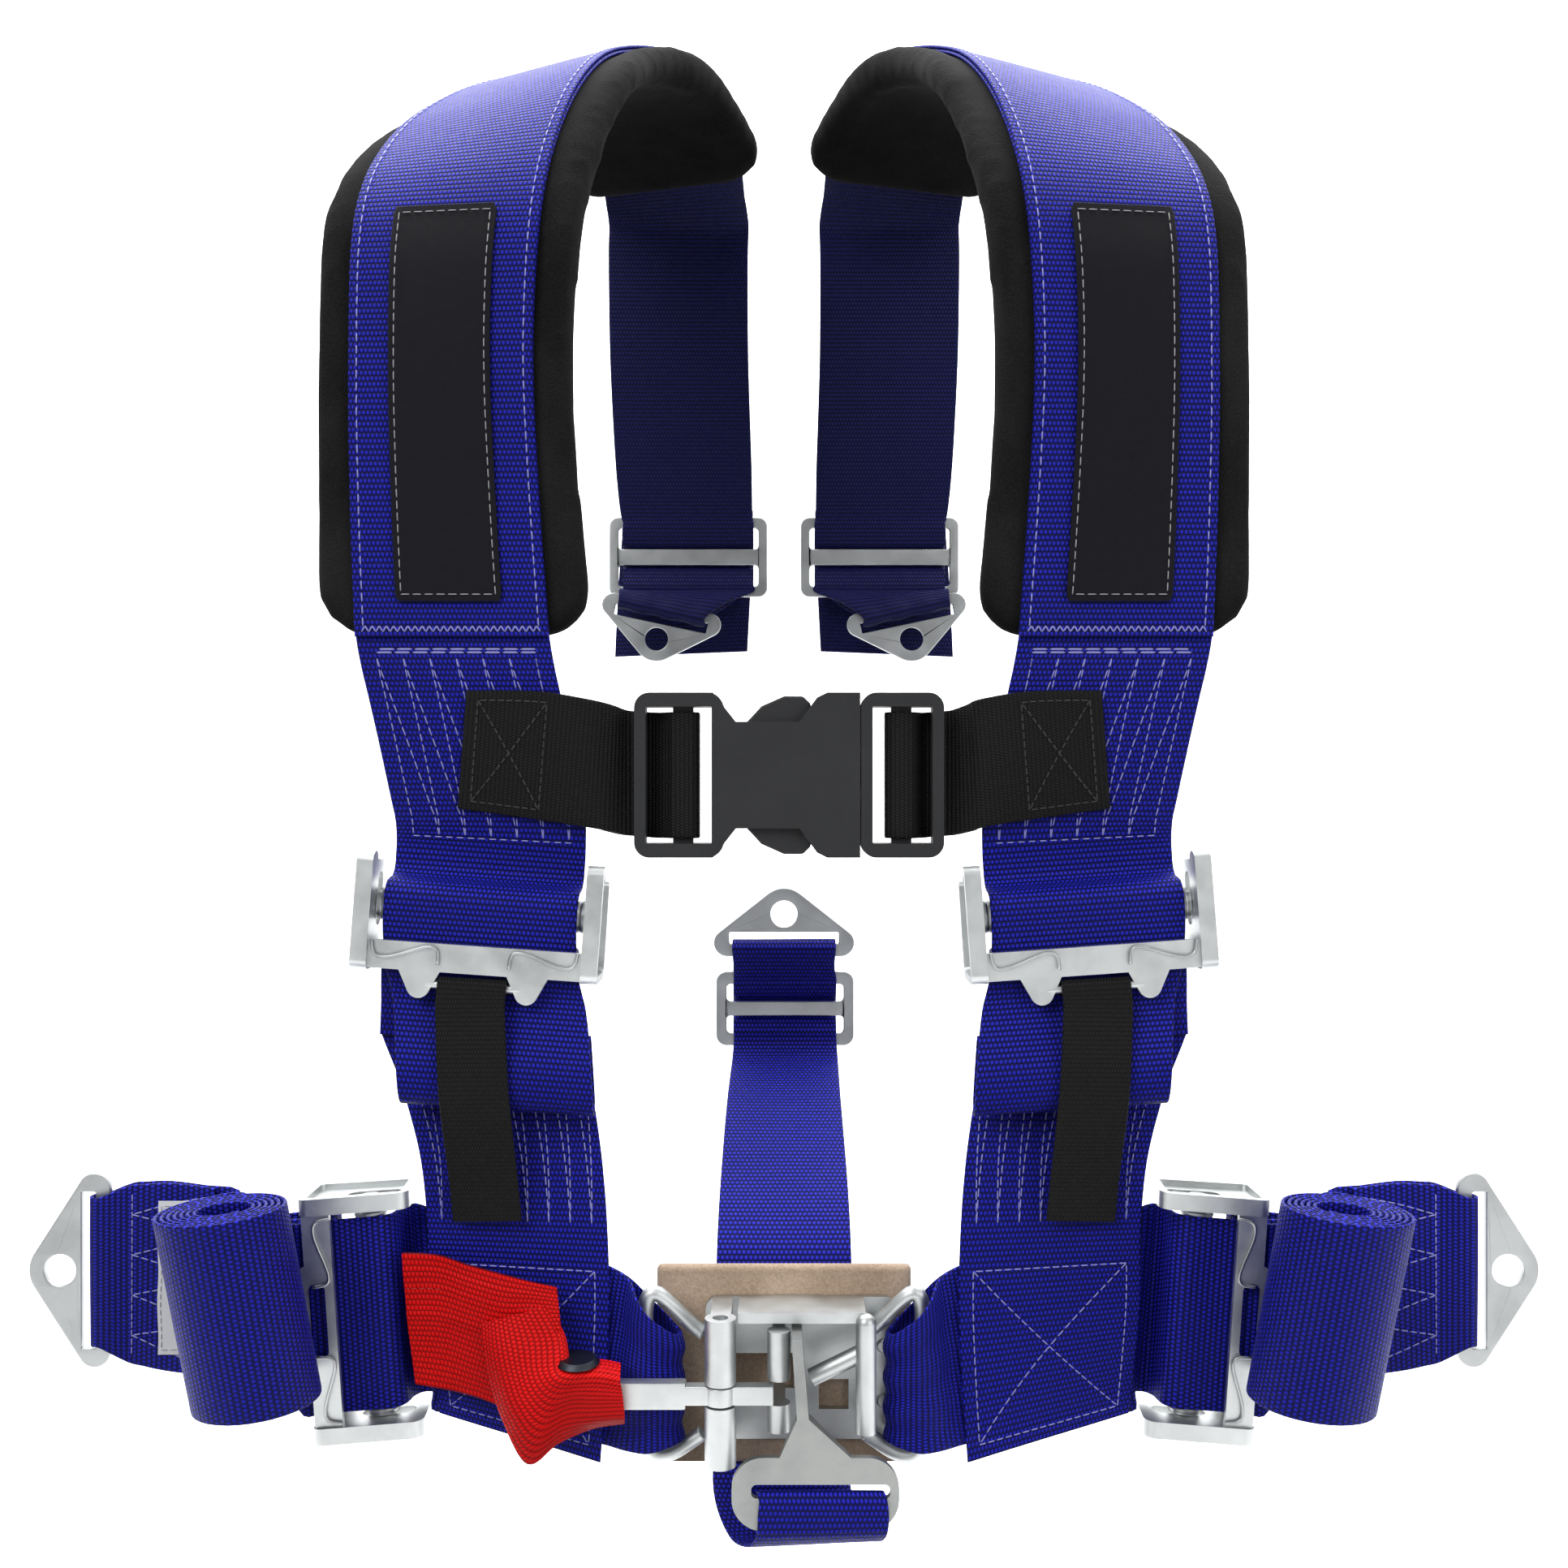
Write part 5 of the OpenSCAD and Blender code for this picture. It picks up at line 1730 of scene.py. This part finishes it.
@dataclass
class Studio:
    """Pale floor and backdrop, soft lights and the camera."""

    eye: Tuple[float, float, float] = (0.0, -0.640, -0.0035)
    lens: float = 36.97
    sensor: float = 36.0
    floor_z: float = -0.62
    paper_glow: float = 0.45
    sky: Tuple[Spot, ...] = ((0.0, 0.3), (0.42, 0.35), (0.6, 0.9), (1.0, 1.1))
    sky_power: float = 0.42

    def build(self) -> None:
        """Sets up the whole studio."""
        self.camera()
        self.floor()
        self.world()
        self.lights()
        scene = bpy.context.scene
        scene.view_settings.view_transform = "Standard"
        scene.view_settings.look = "None"
        scene.view_settings.exposure = 0.0

    def camera(self) -> None:
        """Places the camera level in front of the chest clip."""
        data = bpy.data.cameras.new("camera")
        data.lens, data.sensor_width = self.lens, self.sensor
        data.clip_start, data.clip_end = 0.02, 30.0
        obj = bpy.data.objects.new("camera", data)
        obj.location = self.eye
        obj.rotation_euler = (math.radians(90), 0, 0)
        bpy.context.scene.collection.objects.link(obj)
        bpy.context.scene.camera = obj

    def floor(self) -> None:
        """Makes a pale floor that curves up into a backdrop."""
        deselect_all()
        bpy.ops.mesh.primitive_grid_add(x_subdivisions=2, y_subdivisions=60, size=1.0,
                                        location=(0, 0, 0))
        obj = bpy.context.object
        obj.name = "studio_floor"
        radius, back, high, front, wide = 0.7, 2.2, 4.0, -3.5, 9.0
        arc = radius * math.pi / 2
        total = (back - radius - front) + arc + high
        for vert in obj.data.vertices:
            s = (vert.co.y + 0.5) * total
            x = vert.co.x * wide
            flat = back - radius - front
            if s < flat:
                vert.co = (x, front + s, self.floor_z)
            elif s < flat + arc:
                a = (s - flat) / radius
                vert.co = (x, back - radius + radius * math.sin(a),
                           self.floor_z + radius * (1 - math.cos(a)))
            else:
                vert.co = (x, back, self.floor_z + radius + (s - flat - arc))
        shade_smooth(obj)
        b = Bench("studio paper")
        soft = b.noise(3.0, 2.0)
        colour = b.blend(soft, (0.93, 0.93, 0.93), (0.95, 0.95, 0.95))
        dress(obj, b.finish(Base_Color=colour, Roughness=0.9, Emission_Color=(1, 1, 1, 1),
                            Emission_Strength=self.paper_glow))
        obj.visible_diffuse = False

    def world(self) -> None:
        """Lights the scene evenly, brighter above than below."""
        world = bpy.data.worlds.new("studio")
        bpy.context.scene.world = world
        world.use_nodes = True
        tree = world.node_tree
        where = tree.nodes.new("ShaderNodeTexCoord")
        split = tree.nodes.new("ShaderNodeSeparateXYZ")
        ramp = tree.nodes.new("ShaderNodeValToRGB")
        tree.links.new(where.outputs["Generated"], split.inputs[0])
        lift = tree.nodes.new("ShaderNodeMath")
        lift.operation = "MULTIPLY_ADD"
        lift.inputs[1].default_value = 0.5
        lift.inputs[2].default_value = 0.5
        tree.links.new(split.outputs[2], lift.inputs[0])
        tree.links.new(lift.outputs[0], ramp.inputs[0])
        set_stops(ramp, [(height, (tone,) * 3) for height, tone in self.sky])
        tree.links.new(ramp.outputs[0], tree.nodes["Background"].inputs[0])
        tree.nodes["Background"].inputs[1].default_value = self.sky_power

    def lights(self) -> None:
        """Hangs the soft lights."""
        for name, place, aim, size, power in (
                ("key", (-1.1, -1.5, 1.3), (0, 0.05, -0.05), 1.3, 27.0),
                ("fill", (1.5, -1.3, 0.5), (0, 0.05, -0.05), 1.6, 15.0),
                ("top", (0.0, 0.1, 1.9), (0, 0.1, 0), 1.6, 15.0),
                ("backdrop", (0.0, 0.95, 1.5), (0, 2.2, -0.2), 2.4, 110.0)):
            data = bpy.data.lights.new(name, "AREA")
            data.energy, data.size = power, size
            obj = bpy.data.objects.new(name, data)
            obj.location = place
            obj.rotation_euler = (Vector(aim) - Vector(place)).to_track_quat("-Z", "Y").to_euler()
            bpy.context.scene.collection.objects.link(obj)


def main() -> None:
    """Loads the frame and builds the whole harness over it."""
    logging.basicConfig(level=logging.INFO, format="%(name)s: %(message)s")
    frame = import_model()
    Studio().build()
    shop = Workshop(frame, Wardrobe())
    ShoulderPad(shop).build()
    ShoulderStraps(shop).build()
    LapBelt(shop).build()
    CrotchStrap(shop).build()
    ReleaseTab(shop).build()
    Fittings(shop).build()
    deselect_all()
    LOG.info("%d pieces made", len(shop.made))


if __name__ == "__main__":
    main()
